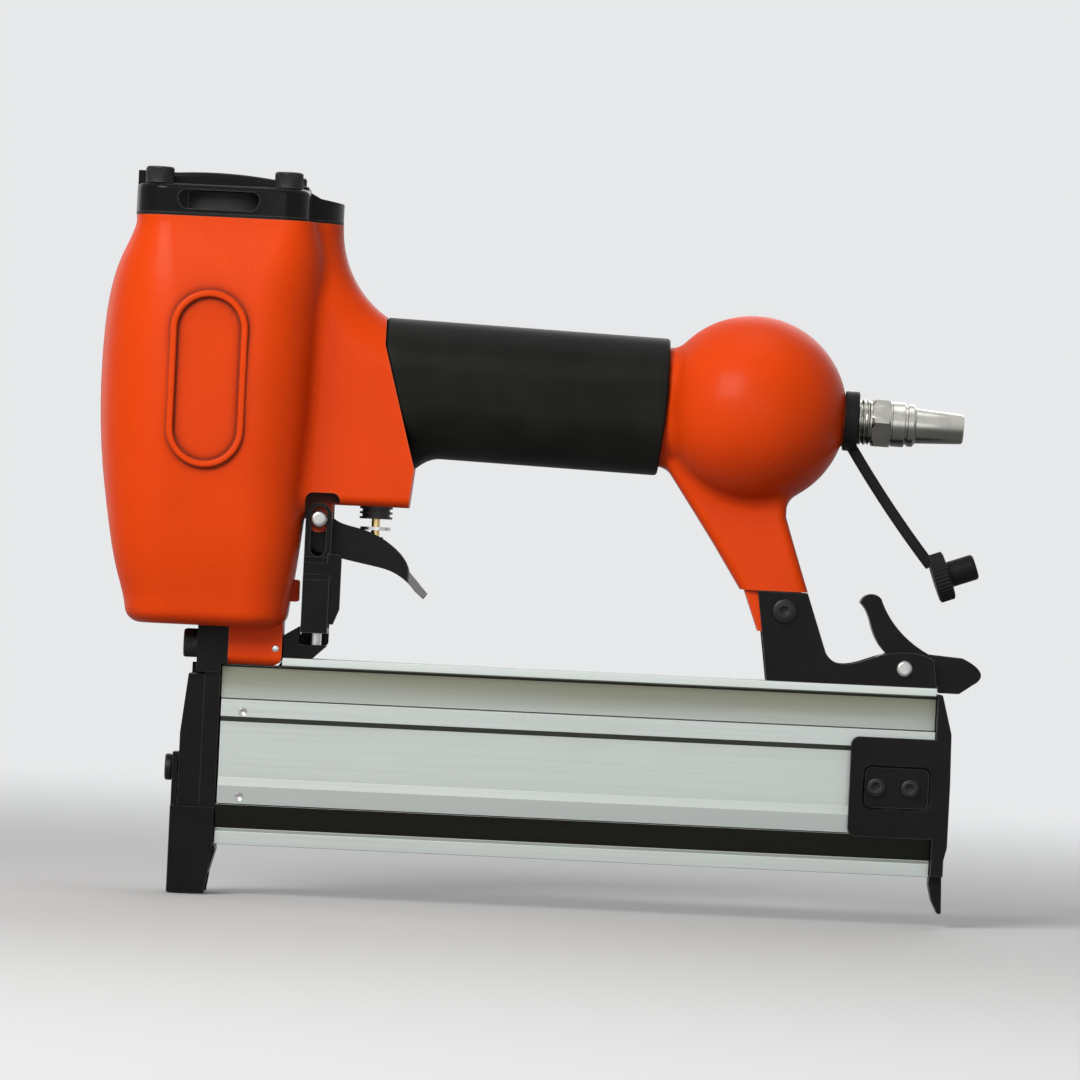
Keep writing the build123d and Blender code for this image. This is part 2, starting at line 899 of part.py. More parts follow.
    chamber_top = barrel_top_z - chamber_top_drop
    collar_seat_low = collar_middle_z - collar_height / 2 - collar_seat_margin
    collar_seat_high = collar_middle_z + collar_height / 2 + collar_seat_margin
    seat_radius = collar_radius + shaft_gap
    with BuildSketch(Plane.XZ):
        with BuildLine():
            Polyline(
                (0, barrel_top_z + overcut),
                (valve_bore_radius, barrel_top_z + overcut),
                (valve_bore_radius, chamber_top),
                (chamber_radius, chamber_top - (chamber_radius - valve_bore_radius)),
                (chamber_radius, collar_seat_high + chamber_radius - seat_radius),
                (seat_radius, collar_seat_high),
                (seat_radius, collar_seat_low),
                (return_radius, collar_seat_low - (return_radius - seat_radius)),
                (return_radius, cylinder_low_z + floor_seat_depth),
                (cylinder_outer + seat_gap, cylinder_low_z + floor_seat_depth),
                (cylinder_outer + seat_gap, cylinder_low_z),
                (driver_hole_radius, cylinder_low_z),
                (driver_hole_radius, barrel_bottom_z - overcut),
                (0, barrel_bottom_z - overcut),
                close=True,
            )
        make_face()
    revolve(axis=Axis.Z, mode=Mode.SUBTRACT)
    with Locations(along_handle(root_front_x)):
        Cylinder(handle_bore_radius, ball_x - root_front_x, align=upward, mode=Mode.SUBTRACT)
    with Locations(ball_middle):
        Sphere(ball_radius - ball_wall, mode=Mode.SUBTRACT)
    with Locations(along_handle(ball_x)):
        Cylinder(plug_thread_radius + seat_gap, 2 * inlet_boss_reach, align=upward, mode=Mode.SUBTRACT)
    with Locations((valve_x, 0, root_bottom_z)):
        Cylinder(
            valve_body_radius + seat_gap,
            handle_z(valve_x) - root_bottom_z,
            align=upward,
            mode=Mode.SUBTRACT,
        )
    with Locations((0, 0, barrel_top_z)):
        with GridLocations(2 * cap_bolt_offset, 2 * cap_bolt_offset, 2, 2):
            Cylinder(
                cap_bolt_radius + seat_gap,
                cap_bolt_length - cap_height - gasket_thickness + bolt_end_room,
                align=downward,
                mode=Mode.SUBTRACT,
            )
    for side in (-nose_bolt_y, nose_bolt_y):
        with Locations(facing(boss_front_x, side, nose_bolt_z, (1, 0, 0))):
            Cylinder(
                nose_bolt_radius + seat_gap,
                nose_bolt_length - (boss_front_x - guide_head_front_x) + bolt_end_room,
                align=upward,
                mode=Mode.SUBTRACT,
            )
    with Locations(facing(bracket_screw_x, 0, bracket_screw_z, (0, 1, 0))):
        Cylinder(bracket_screw_radius + seat_gap, 4 * tang_half_width, mode=Mode.SUBTRACT)
    with Locations(facing(trigger_pin_x, 0, trigger_pin_z, (0, 1, 0))):
        Cylinder(trigger_pin_radius + seat_gap, 4 * ear_outer, mode=Mode.SUBTRACT)
keep(body_casting, "body_casting")

# Grip sleeve over the handle
with BuildPart() as grip_sleeve:
    with BuildSketch(along_handle(grip_front_top_x - grip_width)):
        RectangleRounded(grip_width, grip_height, grip_round)
    extrude(amount=grip_rear_top_x - grip_front_top_x + 2 * grip_width)
    toe_end_x = grip_front_low_x + grip_toe_reach
    toe_end_z = handle_z(toe_end_x) - grip_height / 2
    with BuildSketch(Plane.XZ):
        with BuildLine():
            TangentArc((toe_end_x, toe_end_z), (grip_front_low_x, grip_toe_z), tangent=(-1, 0))
            Polyline(
                (grip_front_low_x, grip_toe_z),
                (grip_front_low_x, handle_z(grip_front_low_x)),
                (toe_end_x, handle_z(toe_end_x)),
                (toe_end_x, toe_end_z),
            )
        make_face()
    extrude(amount=grip_toe_half, both=True)
    grip_region = outline(
        Plane.XZ,
        (
            (grip_front_top_x + seat_gap, grip_top_z + grip_height),
            (grip_front_top_x + seat_gap, grip_knee_z),
            (grip_front_low_x + seat_gap, grip_toe_z),
            (grip_front_low_x + seat_gap, grip_toe_z - grip_height),
            (grip_rear_low_x, grip_toe_z - grip_height),
            (grip_rear_low_x, grip_toe_z),
            (grip_rear_top_x, handle_z(grip_rear_top_x)),
            (grip_rear_top_x, grip_top_z + grip_height),
        ),
    )
    extrude(grip_region, amount=grip_width, both=True, mode=Mode.INTERSECT)
    with BuildSketch(along_handle(root_front_x)):
        RectangleRounded(
            handle_core_width + 2 * seat_gap,
            handle_core_height + 2 * seat_gap,
            handle_core_round + seat_gap,
        )
    extrude(amount=ball_x - root_front_x, mode=Mode.SUBTRACT)
    with BuildSketch(along_handle(grip_rear_low_x - grip_relief_run)):
        RectangleRounded(
            handle_core_width + 2 * grip_relief,
            handle_core_height + 2 * grip_relief,
            handle_core_round + grip_relief,
        )
    extrude(amount=ball_x - grip_rear_low_x, mode=Mode.SUBTRACT)
keep(grip_sleeve, "grip_sleeve")


def cap_plan(plane):
    """Outline shared by the cap and its gasket: a rounded square with a rear tongue."""
    with BuildSketch(plane) as plan:
        with Locations(((cap_front_x + cap_rear_x) / 2, 0)):
            RectangleRounded(cap_rear_x - cap_front_x, 2 * cap_half_depth, cap_corner)
        with Locations((root_top_x - cap_tongue_half, 0)):
            Circle(cap_tongue_half)
    return plan.sketch


# Gasket, cap, muffler and cap screws
with BuildPart() as cap_gasket:
    extrude(cap_plan(Plane.XY.offset(barrel_top_z)), amount=gasket_thickness)
    with Locations((0, 0, barrel_top_z)):
        Cylinder(valve_bore_radius, 2 * gasket_thickness, align=upward, mode=Mode.SUBTRACT)
        with GridLocations(2 * cap_bolt_offset, 2 * cap_bolt_offset, 2, 2):
            Cylinder(cap_bolt_radius + seat_gap, 2 * gasket_thickness, align=upward, mode=Mode.SUBTRACT)
keep(cap_gasket, "cap_gasket")

with BuildPart() as cylinder_cap:
    extrude(cap_plan(Plane.XY.offset(cap_low_z)), amount=cap_height)
    fillet(cylinder_cap.edges().group_by(Axis.Z)[-1], cap_edge_round)
    step_outline = outline(
        Plane.XZ,
        (
            (cap_step_x, cap_top_z),
            (cap_step_x + cap_step_run, cap_top_z - cap_step_drop),
            (root_top_x + overcut, cap_top_z - cap_tongue_drop),
            (root_top_x + overcut, cap_top_z + overcut),
            (cap_step_x, cap_top_z + overcut),
        ),
    )
    extrude(step_outline, amount=2 * cap_half_depth, both=True, mode=Mode.SUBTRACT)
    spine_front = (spine_lip_rear_x, cap_top_z + spine_front_rise)
    spine_rear = (spine_rear_x, cap_top_z + spine_rear_rise)
    with BuildSketch(Plane.XZ):
        with BuildLine():
            Polyline(
                spine_front,
                (spine_lip_rear_x, cap_top_z + spine_lip_rise),
                (cap_front_x, cap_top_z + spine_lip_rise),
                (cap_front_x, cap_top_z - spine_sink),
                (spine_rear_x, cap_top_z - spine_sink),
                spine_rear,
            )
            ThreePointArc(spine_rear, (0, cap_top_z + spine_middle_rise), spine_front)
        make_face()
    extrude(amount=spine_half, both=True)
    spine_edges = edges_within(
        cylinder_cap.edges(),
        (spine_lip_rear_x, -spine_half - slide_gap, cap_top_z + spine_rear_rise / 2),
        (spine_rear_x, spine_half + slide_gap, cap_top_z + spine_middle_rise + slide_gap),
    )
    fillet(spine_edges.filter_by(GeomType.CIRCLE), spine_round)
    with Locations((0, 0, cap_low_z)):
        Cylinder(cap_bore_radius, cap_bore_depth, align=upward, mode=Mode.SUBTRACT)
    with Locations((0, 0, cap_ceiling_z)):
        Cylinder(cap_post_radius, cap_post_length, align=downward)
    window_low_z = cap_low_z + window_rise
    window_high_z = window_low_z + window_height
    for plane_y in (-window_inner_y, 2 * cap_half_depth):
        with BuildSketch(beside(plane_y)) as window:
            with BuildLine():
                Polyline(
                    (window_front_x, window_high_z),
                    (window_front_x + window_slant, window_low_z),
                    (window_rear_x - window_slant, window_low_z),
                    (window_rear_x, window_high_z),
                    close=True,
                )
            make_face()
            fillet(window.vertices().group_by(Axis.Z)[0], window_round)
        extrude(amount=2 * cap_half_depth - window_inner_y, mode=Mode.SUBTRACT)
    with Locations((0, 0, cap_low_z)):
        with GridLocations(2 * cap_bolt_offset, 2 * cap_bolt_offset, 2, 2):
            Cylinder(cap_bolt_radius + seat_gap, 2 * cap_height, align=upward, mode=Mode.SUBTRACT)
keep(cylinder_cap, "cylinder_cap")

with BuildPart() as exhaust_muffler:
    muffler_radius = cap_bore_radius - seat_gap
    with Locations((0, 0, cap_low_z + muffler_rise)):
        Cylinder(muffler_radius, cap_bore_depth - muffler_rise, align=upward)
        Cylinder(muffler_radius - muffler_wall, cap_bore_depth, align=upward, mode=Mode.SUBTRACT)
keep(exhaust_muffler, "exhaust_muffler")

with BuildPart() as cap_screws:
    with Locations((0, 0, cap_top_z)):
        with GridLocations(2 * cap_bolt_offset, 2 * cap_bolt_offset, 2, 2):
            add(
                socket_screw(
                    cap_bolt_head_radius,
                    cap_bolt_head,
                    cap_bolt_radius,
                    cap_bolt_length,
                    cap_bolt_key,
                )
            )
keep(cap_screws, "cap_screws")

# Cylinder, bumper, piston, driver and head valve
with BuildPart() as cylinder_sleeve:
    with Locations((0, 0, cylinder_low_z)):
        Cylinder(cylinder_outer, cylinder_top_z - cylinder_low_z, align=upward)
    with Locations((0, 0, collar_middle_z)):
        Cylinder(collar_radius, collar_height)
        Cylinder(collar_radius + overcut, 2 * collar_ring_wire, mode=Mode.SUBTRACT)
        Cylinder(collar_radius - 2 * collar_ring_wire, 2 * collar_ring_wire)
    with Locations((0, 0, cylinder_low_z)):
        Cylinder(cylinder_radius, cylinder_top_z - cylinder_low_z, align=upward, mode=Mode.SUBTRACT)
    port_levels = (
        cylinder_low_z + port_low_rise,
        collar_middle_z - collar_height / 2 - port_collar_drop,
    )
    for level in port_levels:
        with Locations((0, 0, level)):
            with PolarLocations(cylinder_radius, port_count):
                Cylinder(port_radius, 4 * cylinder_wall, rotation=(0, 90, 0), mode=Mode.SUBTRACT)
keep(cylinder_sleeve, "cylinder_sleeve")

with BuildPart() as cylinder_o_ring:
    with Locations((0, 0, collar_middle_z)):
        Torus(collar_radius - collar_ring_wire, collar_ring_wire)
keep(cylinder_o_ring, "cylinder_o_ring")

with BuildPart() as bumper:
    with Locations((0, 0, cylinder_low_z)):
        Cylinder(cylinder_radius - slide_gap, bumper_top_z - cylinder_low_z, align=upward)
        Cylinder(driver_hole_radius, bumper_top_z - cylinder_low_z, align=upward, mode=Mode.SUBTRACT)
    chamfer(bumper.edges().group_by(Axis.Z)[-1], bumper_chamfer)
keep(bumper, "bumper")

with BuildPart() as piston:
    with Locations((0, 0, piston_low_z)):
        Cylinder(cylinder_radius - slide_gap, piston_height, align=upward)
        Box(
            driver_thickness + 2 * seat_gap,
            driver_head_width + 2 * seat_gap,
            driver_tail + seat_gap,
            align=upward,
            mode=Mode.SUBTRACT,
        )
    piston_ring_z = piston_top_z - piston_ring_drop
    piston_groove_radius = cylinder_radius - shaft_gap - 2 * piston_ring_wire - seat_gap
    with Locations((0, 0, piston_ring_z)):
        Cylinder(cylinder_radius, 2 * (piston_ring_wire + seat_gap), mode=Mode.SUBTRACT)
        Cylinder(piston_groove_radius, 2 * (piston_ring_wire + seat_gap))
    with Locations((0, 0, piston_low_z + driver_pin_rise)):
        Cylinder(
            driver_pin_radius + seat_gap,
            2 * cylinder_radius,
            rotation=(0, 90, 0),
            mode=Mode.SUBTRACT,
        )
keep(piston, "piston")

with BuildPart() as piston_o_ring:
    with Locations((0, 0, piston_ring_z)):
        Torus(cylinder_radius - shaft_gap - piston_ring_wire, piston_ring_wire)
keep(piston_o_ring, "piston_o_ring")

with BuildPart() as driver_blade:
    driver_top_z = piston_low_z + driver_tail
    with Locations((0, 0, driver_top_z)):
        Box(driver_thickness, driver_head_width, driver_head_height, align=downward)
        Box(driver_thickness, driver_width, driver_top_z - driver_rest_tip_z, align=downward)
    with Locations((0, 0, piston_low_z + driver_pin_rise)):
        Cylinder(
            driver_pin_radius + seat_gap,
            2 * driver_head_width,
            rotation=(0, 90, 0),
            mode=Mode.SUBTRACT,
        )
keep(driver_blade, "driver_blade")

with BuildPart() as driver_pin:
    with Locations((0, 0, piston_low_z + driver_pin_rise)):
        Cylinder(driver_pin_radius, driver_pin_length, rotation=(0, 90, 0))
keep(driver_pin, "driver_pin")

with BuildPart() as head_valve:
    with Locations((0, 0, head_valve_low_z)):
        Cylinder(head_valve_radius, head_valve_height, align=upward)
        Cylinder(head_valve_hole_radius, head_valve_height, align=upward, mode=Mode.SUBTRACT)
    with Locations((0, 0, head_valve_low_z + head_valve_floor)):
        Cylinder(
            head_valve_radius - head_valve_wall,
            head_valve_height,
            align=upward,
            mode=Mode.SUBTRACT,
        )
    head_ring_z = head_valve_low_z + head_ring_rise
    head_groove_radius = valve_bore_radius - shaft_gap - 2 * head_ring_wire - seat_gap
    with BuildSketch(Plane.XY.offset(head_ring_z - head_ring_wire - seat_gap)):
        Circle(valve_bore_radius)
        Circle(head_groove_radius, mode=Mode.SUBTRACT)
    extrude(amount=2 * (head_ring_wire + seat_gap), mode=Mode.SUBTRACT)
keep(head_valve, "head_valve")

with BuildPart() as head_valve_o_ring:
    with Locations((0, 0, head_ring_z)):
        Torus(valve_bore_radius - shaft_gap - head_ring_wire, head_ring_wire)
keep(head_valve_o_ring, "head_valve_o_ring")

with BuildPart() as head_valve_spring:
    head_spring_low_z = head_valve_low_z + head_valve_floor
    with Locations((0, 0, head_spring_low_z)):
        add(coil(head_spring_radius, head_spring_wire, cap_ceiling_z - head_spring_low_z, head_spring_turns))
keep(head_valve_spring, "head_valve_spring")

# Nose: driver guide, guide cover and their screws
with BuildPart() as driver_guide:
    guide_outline = outline(
        Plane.XZ,
        (
            (guide_front_x, nose_tip_z),
            (guide_toe_low_x, nose_tip_z),
            (guide_toe_x, guide_toe_low_z),
            (guide_toe_x, guide_toe_top_z),
            (guide_rear_x, guide_toe_top_z),
            (guide_rear_x, nose_head_z),
            (guide_front_x, nose_head_z),
        ),
    )
    extrude(guide_outline, amount=nose_half_width, both=True)
    guide_head = outline(
        Plane.XZ,
        (
            (guide_head_front_x, nose_head_z),
            (guide_rear_x, nose_head_z),
            (guide_rear_x, boss_bottom_z),
            (boss_front_x, boss_bottom_z),
            (boss_front_x, barrel_bottom_z),
            (guide_head_front_x, barrel_bottom_z),
        ),
    )
    extrude(guide_head, amount=boss_half_width, both=True)
    with Locations((guide_front_x, 0, nose_head_z)):
        Box(
            channel_depth,
            2 * channel_half_width,
            2 * (barrel_bottom_z - nose_head_z),
            align=(Align.MAX, Align.CENTER, Align.CENTER),
            mode=Mode.SUBTRACT,
        )
    with Locations((guide_front_x - channel_depth / 2, 0, nail_slot_bottom_z)):
        Box(
            boss_front_x,
            2 * nail_slot_half,
            nail_slot_top_z - nail_slot_bottom_z,
            align=(Align.MIN, Align.CENTER, Align.MIN),
            mode=Mode.SUBTRACT,
        )
    for side in (-nose_bolt_y, nose_bolt_y):
        with Locations(facing(guide_head_front_x, side, nose_bolt_z, (1, 0, 0))):
            Cylinder(
                nose_bolt_radius + seat_gap,
                2 * (boss_front_x - guide_head_front_x),
                align=upward,
                mode=Mode.SUBTRACT,
            )
    for level in (mag_screw_low_z, mag_screw_high_z):
        with Locations(facing(guide_front_x, mag_screw_y, level, (1, 0, 0))):
            Cylinder(mag_screw_radius + seat_gap, mag_screw_length, align=upward, mode=Mode.SUBTRACT)
            Cylinder(mag_screw_head_radius + seat_gap, mag_screw_head, align=upward, mode=Mode.SUBTRACT)
    for side in (-cover_screw_y, cover_screw_y):
        for level in (cover_screw_low_z, cover_screw_high_z):
            with Locations(facing(guide_front_x, side, level, (1, 0, 0))):
                Cylinder(
                    cover_screw_radius + seat_gap,
                    cover_screw_length,
                    align=upward,
                    mode=Mode.SUBTRACT,
                )
keep(driver_guide, "driver_guide")

with BuildPart() as guide_cover:
    cover_outline = outline(
        Plane.XZ,
        (
            (nose_cover_front_x, nose_tip_z),
            (guide_front_x, nose_tip_z),
            (guide_front_x, nose_cover_top_z),
            (nose_cover_top_x, nose_cover_top_z),
            (nose_cover_front_x, nose_cover_slope_z),
        ),
    )
    extrude(cover_outline, amount=nose_half_width, both=True)
    with Locations((guide_front_x, 0, 0)):
        Box(
            channel_depth,
            2 * channel_half_width,
            4 * nose_cover_top_z,
            align=(Align.MAX, Align.CENTER, Align.CENTER),
            mode=Mode.SUBTRACT,
        )
    with Locations(facing(nose_cover_front_x, 0, foot_screw_z, (1, 0, 0))):
        Cylinder(foot_screw_radius + seat_gap, foot_screw_depth, align=upward, mode=Mode.SUBTRACT)
    for side in (-cover_screw_y, cover_screw_y):
        for level in (cover_screw_low_z, cover_screw_high_z):
            with Locations(facing(nose_cover_front_x, side, level, (1, 0, 0))):
                Cylinder(
                    cover_screw_radius + seat_gap,
                    cover_screw_length,
                    align=upward,
                    mode=Mode.SUBTRACT,
                )
                Cylinder(
                    cover_screw_head_radius + seat_gap,
                    cover_screw_head,
                    align=upward,
                    mode=Mode.SUBTRACT,
                )
keep(guide_cover, "guide_cover")

with BuildPart() as guide_cover_screws:
    cover_screw_seat_x = nose_cover_front_x + cover_screw_head
    for side in (-cover_screw_y, cover_screw_y):
        for level in (cover_screw_low_z, cover_screw_high_z):
            with Locations(facing(cover_screw_seat_x, side, level, (-1, 0, 0))):
                add(
                    socket_screw(
                        cover_screw_head_radius,
                        cover_screw_head,
                        cover_screw_radius,
                        cover_screw_length - cover_screw_head,
                        cover_screw_radius,
                    )
                )
keep(guide_cover_screws, "guide_cover_screws")

with BuildPart() as nose_screws:
    for side in (-nose_bolt_y, nose_bolt_y):
        with Locations(facing(guide_head_front_x, side, nose_bolt_z, (-1, 0, 0))):
            add(
                socket_screw(
                    nose_bolt_head_radius,
                    nose_bolt_head,
                    nose_bolt_radius,
                    nose_bolt_length,
                    nose_bolt_key,
                )
            )
keep(nose_screws, "nose_screws")

# Safety: contact foot, link, yoke, base, post and spring
foot_slot_low_z = foot_screw_z - foot_travel - arm_slot_room
foot_slot_high_z = foot_screw_z + arm_slot_room

with BuildPart() as contact_foot:
    with Locations((foot_front_x, 0, 0)):
        Box(
            sheet,
            2 * arm_inner,
            foot_wrap_height,
            align=(Align.MIN, Align.CENTER, Align.MIN),
        )
        Box(
            sheet,
            2 * foot_strip_half,
            foot_strip_height,
            align=(Align.MIN, Align.CENTER, Align.MIN),
        )
    foot_side = (
        (foot_front_x, 0),
        (foot_toe_rear_x, 0),
        (foot_side_rear_x, foot_toe_height),
        (foot_side_rear_x, foot_wrap_height),
        (foot_front_x, foot_wrap_height),
    )
    for far_y in (-foot_side_inner, arm_inner):
        extrude(outline(beside(far_y), foot_side), amount=sheet)
    with BuildSketch(across(foot_front_x)):
        with Locations((0, (foot_slot_low_z + foot_slot_high_z) / 2)):
            SlotCenterToCenter(
                foot_slot_high_z - foot_slot_low_z,
                2 * (foot_screw_radius + slide_gap),
                rotation=90,
            )
    extrude(amount=sheet, mode=Mode.SUBTRACT)
    upright_edges = contact_foot.edges().filter_by(Axis.Z)
    fold_edges = upright_edges.filter_by_position(Axis.X, foot_front_x, foot_front_x)
    outer_folds = edges_within(
        fold_edges,
        (foot_front_x - overcut, -2 * arm_inner, 0),
        (foot_front_x + overcut, -foot_side_inner, foot_wrap_height),
    )
    outer_folds += edges_within(
        fold_edges,
        (foot_front_x - overcut, foot_side_inner, 0),
        (foot_front_x + overcut, 2 * arm_inner, foot_wrap_height),
    )
    fillet(outer_folds, foot_fold_round)
keep(contact_foot, "contact_foot")

with BuildPart() as foot_screw:
    with Locations(facing(foot_front_x - slide_gap, 0, foot_screw_z, (-1, 0, 0))):
        add(
            socket_screw(
                foot_screw_head_radius,
                foot_screw_head,
                foot_screw_radius,
                foot_gap + sheet + slide_gap + foot_screw_depth,
                foot_screw_key,
            )
        )
keep(foot_screw, "foot_screw")

arm_slot_low_z = trigger_pin_z - foot_travel - arm_slot_room
arm_slot_high_z = trigger_pin_z + arm_slot_above


def arm_slot(plane, low_z):
    """Slot of a safety arm around the trigger pin, from the middle of its lower end up."""
    with BuildSketch(plane) as slot:
        with Locations((trigger_pin_x, (low_z + arm_slot_high_z) / 2)):
            SlotCenterToCenter(
                arm_slot_high_z - low_z,
                2 * (trigger_pin_radius + slide_gap),
                rotation=90,
            )
    return slot.sketch


with BuildPart() as safety_link:
    arm_crown_z = trigger_pin_z + arm_top_rise - arm_half
    link_outline = outline(
        beside(arm_outer),
        (
            (-link_half, link_low_z),
            (link_half, link_low_z),
            (link_half, link_run_low_z),
            (link_turn_x, link_run_low_z),
            link_neck,
            (arm_rear_x, link_rise_z),
            (arm_rear_x, arm_crown_z),
            (arm_front_x, arm_crown_z),
            (arm_front_x, arm_bottom_z),
            (link_turn_x, link_run_high_z),
            (-link_half, link_run_high_z),
        ),
    )
    extrude(link_outline, amount=sheet)
    with Locations(facing(trigger_pin_x, arm_outer, arm_crown_z, (0, -1, 0))):
        Cylinder(arm_half, sheet, align=upward)
    extrude(arm_slot(beside(arm_outer), arm_slot_low_z), amount=sheet, mode=Mode.SUBTRACT)
keep(safety_link, "safety_link")

with BuildPart() as safety_yoke:
    shelf_top_z = arm_bottom_z + sheet
    arm_top_z = trigger_pin_z + arm_top_rise
    yoke_section = outline(
        across(arm_front_x),
        (
            (-arm_outer, arm_top_z),
            (-arm_outer, arm_first_step_z),
            (-arm_outer - arm_step, arm_first_step_z - arm_step_height),
            (-arm_outer - arm_step, arm_second_step_z),
            (-arm_outer - 2 * arm_step, arm_second_step_z - arm_step_height),
            (-arm_outer - 2 * arm_step, arm_bottom_z),
            (arm_inner, arm_bottom_z),
            (arm_inner, shelf_top_z),
            (-arm_inner - 2 * arm_step, shelf_top_z),
            (-arm_inner - 2 * arm_step, arm_second_step_z - arm_step_height),
            (-arm_inner - arm_step, arm_second_step_z),
            (-arm_inner - arm_step, arm_first_step_z - arm_step_height),
            (-arm_inner, arm_first_step_z),
            (-arm_inner, arm_top_z),
        ),
    )
    extrude(yoke_section, amount=2 * arm_half)
    crown_edges = safety_yoke.edges().filter_by(Axis.Y).filter_by_position(Axis.Z, arm_top_z, arm_top_z)
    fillet(crown_edges, arm_half - shaft_gap)
    near_slot = arm_slot(beside(-arm_inner), arm_slot_low_z - arm_slot_spare)
    extrude(near_slot, amount=sheet, mode=Mode.SUBTRACT)
    wing_outline = outline(
        beside(-arm_inner - arm_step),
        (
            (arm_rear_x - wing_lap, wing_foot[1]),
            wing_foot,
            (wing_rear_x, wing_heel_z),
            (wing_rear_x, wing_high_z),
            (arm_rear_x - wing_lap, wing_high_z),
        ),
    )
    extrude(wing_outline, amount=sheet)
    wing_edges = safety_yoke.edges().filter_by(Axis.Y).filter_by_position(Axis.X, wing_rear_x, wing_rear_x)
    fillet(wing_edges, sheet)
    with Locations((trigger_pin_x, 0, arm_bottom_z)):
        Cylinder(post_radius + slide_gap, 4 * sheet, mode=Mode.SUBTRACT)
keep(safety_yoke, "safety_yoke")

with BuildPart() as safety_base:
    base_front_x = boss_rear_x + base_gap
    base_low_z = mag_top_z + seat_gap
    base_top_z = base_low_z + base_height
    base_outline = outline(
        Plane.XZ,
        (
            (base_front_x, base_low_z),
            (base_low_rear_x, base_low_z),
            (base_rear_x, base_low_z + base_undercut),
            (base_rear_x, base_top_z),
            (gusset_rear_x, base_top_z),
            (gusset_rear_x, gusset_rear_z),
            (base_front_x, gusset_front_z),
        ),
    )
    extrude(base_outline, amount=base_half_width, both=True)
    post_low_z = base_top_z - post_sink
    with Locations((trigger_pin_x, 0, post_low_z)):
        Cylinder(post_radius + seat_gap, 2 * base_height, align=upward, mode=Mode.SUBTRACT)
keep(safety_base, "safety_base")

with BuildPart() as safety_post:
    post_top_z = shelf_top_z + safety_spring_length
    with Locations((trigger_pin_x, 0, post_low_z)):
        Cylinder(post_radius, post_top_z - post_low_z, align=upward)
    with Locations((trigger_pin_x, 0, post_top_z)):
        Cylinder(post_head_radius, post_head, align=upward)
keep(safety_post, "safety_post")

with BuildPart() as safety_spring:
    safety_spring_radius = post_radius + slide_gap + safety_spring_wire
    with Locations((trigger_pin_x, 0, shelf_top_z)):
        add(coil(safety_spring_radius, safety_spring_wire, safety_spring_length, safety_spring_turns))
keep(safety_spring, "safety_spring")

# Trigger, trip lever and pin
with BuildPart() as trigger:
    with BuildSketch(Plane.XZ):
        with BuildLine():
            Spline(*trigger_top)
            Polyline(trigger_top[-1], *trigger_tip, trigger_finger[0])
            Spline(*trigger_finger)
            Line(trigger_finger[-1], (trigger_front_x, trigger_finger[-1][1] + trigger_web))
            Line(
                (trigger_front_x, trigger_finger[-1][1] + trigger_web),
                (trigger_front_x, trigger_pin_z),
            )
            ThreePointArc(
                (trigger_front_x, trigger_pin_z),
                (trigger_crown_x, trigger_crown_z),
                trigger_top[0],
            )
        make_face()
    extrude(amount=trigger_half_width, both=True)
    lifted = tuple((x, z + trigger_web) for x, z in trigger_finger)
    hollow = outline(
        Plane.XZ,
        (
            (trigger_tip[0][0] + trigger_web, trigger_tip[0][1] + trigger_web),
            *lifted,
            (trigger_front_x - overcut, lifted[-1][1]),
            (trigger_front_x - overcut, trigger_crown_z + overcut),
            (trigger_tip[0][0] + trigger_web, trigger_crown_z + overcut),
        ),
    )
    extrude(hollow, amount=trigger_half_width - trigger_wall, both=True, mode=Mode.SUBTRACT)
    with Locations(facing(trigger_pin_x, 0, trigger_pin_z, (0, 1, 0))):
        Cylinder(trigger_pin_radius + shaft_gap, 4 * trigger_half_width, mode=Mode.SUBTRACT)
keep(trigger, "trigger")

with BuildPart() as trip_lever:
    stem_tip_z = root_bottom_z - stem_tip_drop
    with Locations((trip_front_x, 0, stem_tip_z - trip_gap)):
        Box(
            trip_rear_x - trip_front_x,
            2 * (trigger_half_width - trigger_wall),
            trip_thickness,
            align=(Align.MIN, Align.CENTER, Align.MAX),
        )
keep(trip_lever, "trip_lever")

pin_reach = arm_outer + slide_gap
with BuildPart() as trigger_pin:
    with Locations(facing(trigger_pin_x, -pin_reach, trigger_pin_z, (0, 1, 0))):
        Cylinder(trigger_pin_radius, 2 * pin_reach + 2 * pin_clip_thickness, align=upward)
        Cylinder(trigger_pin_head_radius, trigger_pin_head, align=downward)
    fillet(trigger_pin.edges().group_by(Axis.Y)[0], trigger_pin_dome)
keep(trigger_pin, "trigger_pin")

with BuildPart() as trigger_pin_clip:
    with Locations(facing(trigger_pin_x, pin_reach, trigger_pin_z, (0, 1, 0))):
        Cylinder(pin_clip_radius, pin_clip_thickness, align=upward)
        Cylinder(trigger_pin_radius + seat_gap, 2 * pin_clip_thickness, mode=Mode.SUBTRACT)
        with Locations((pin_clip_radius, 0, 0)):
            Box(
                pin_clip_radius,
                pin_clip_mouth,
                4 * pin_clip_thickness,
                mode=Mode.SUBTRACT,
            )
keep(trigger_pin_clip, "trigger_pin_clip")

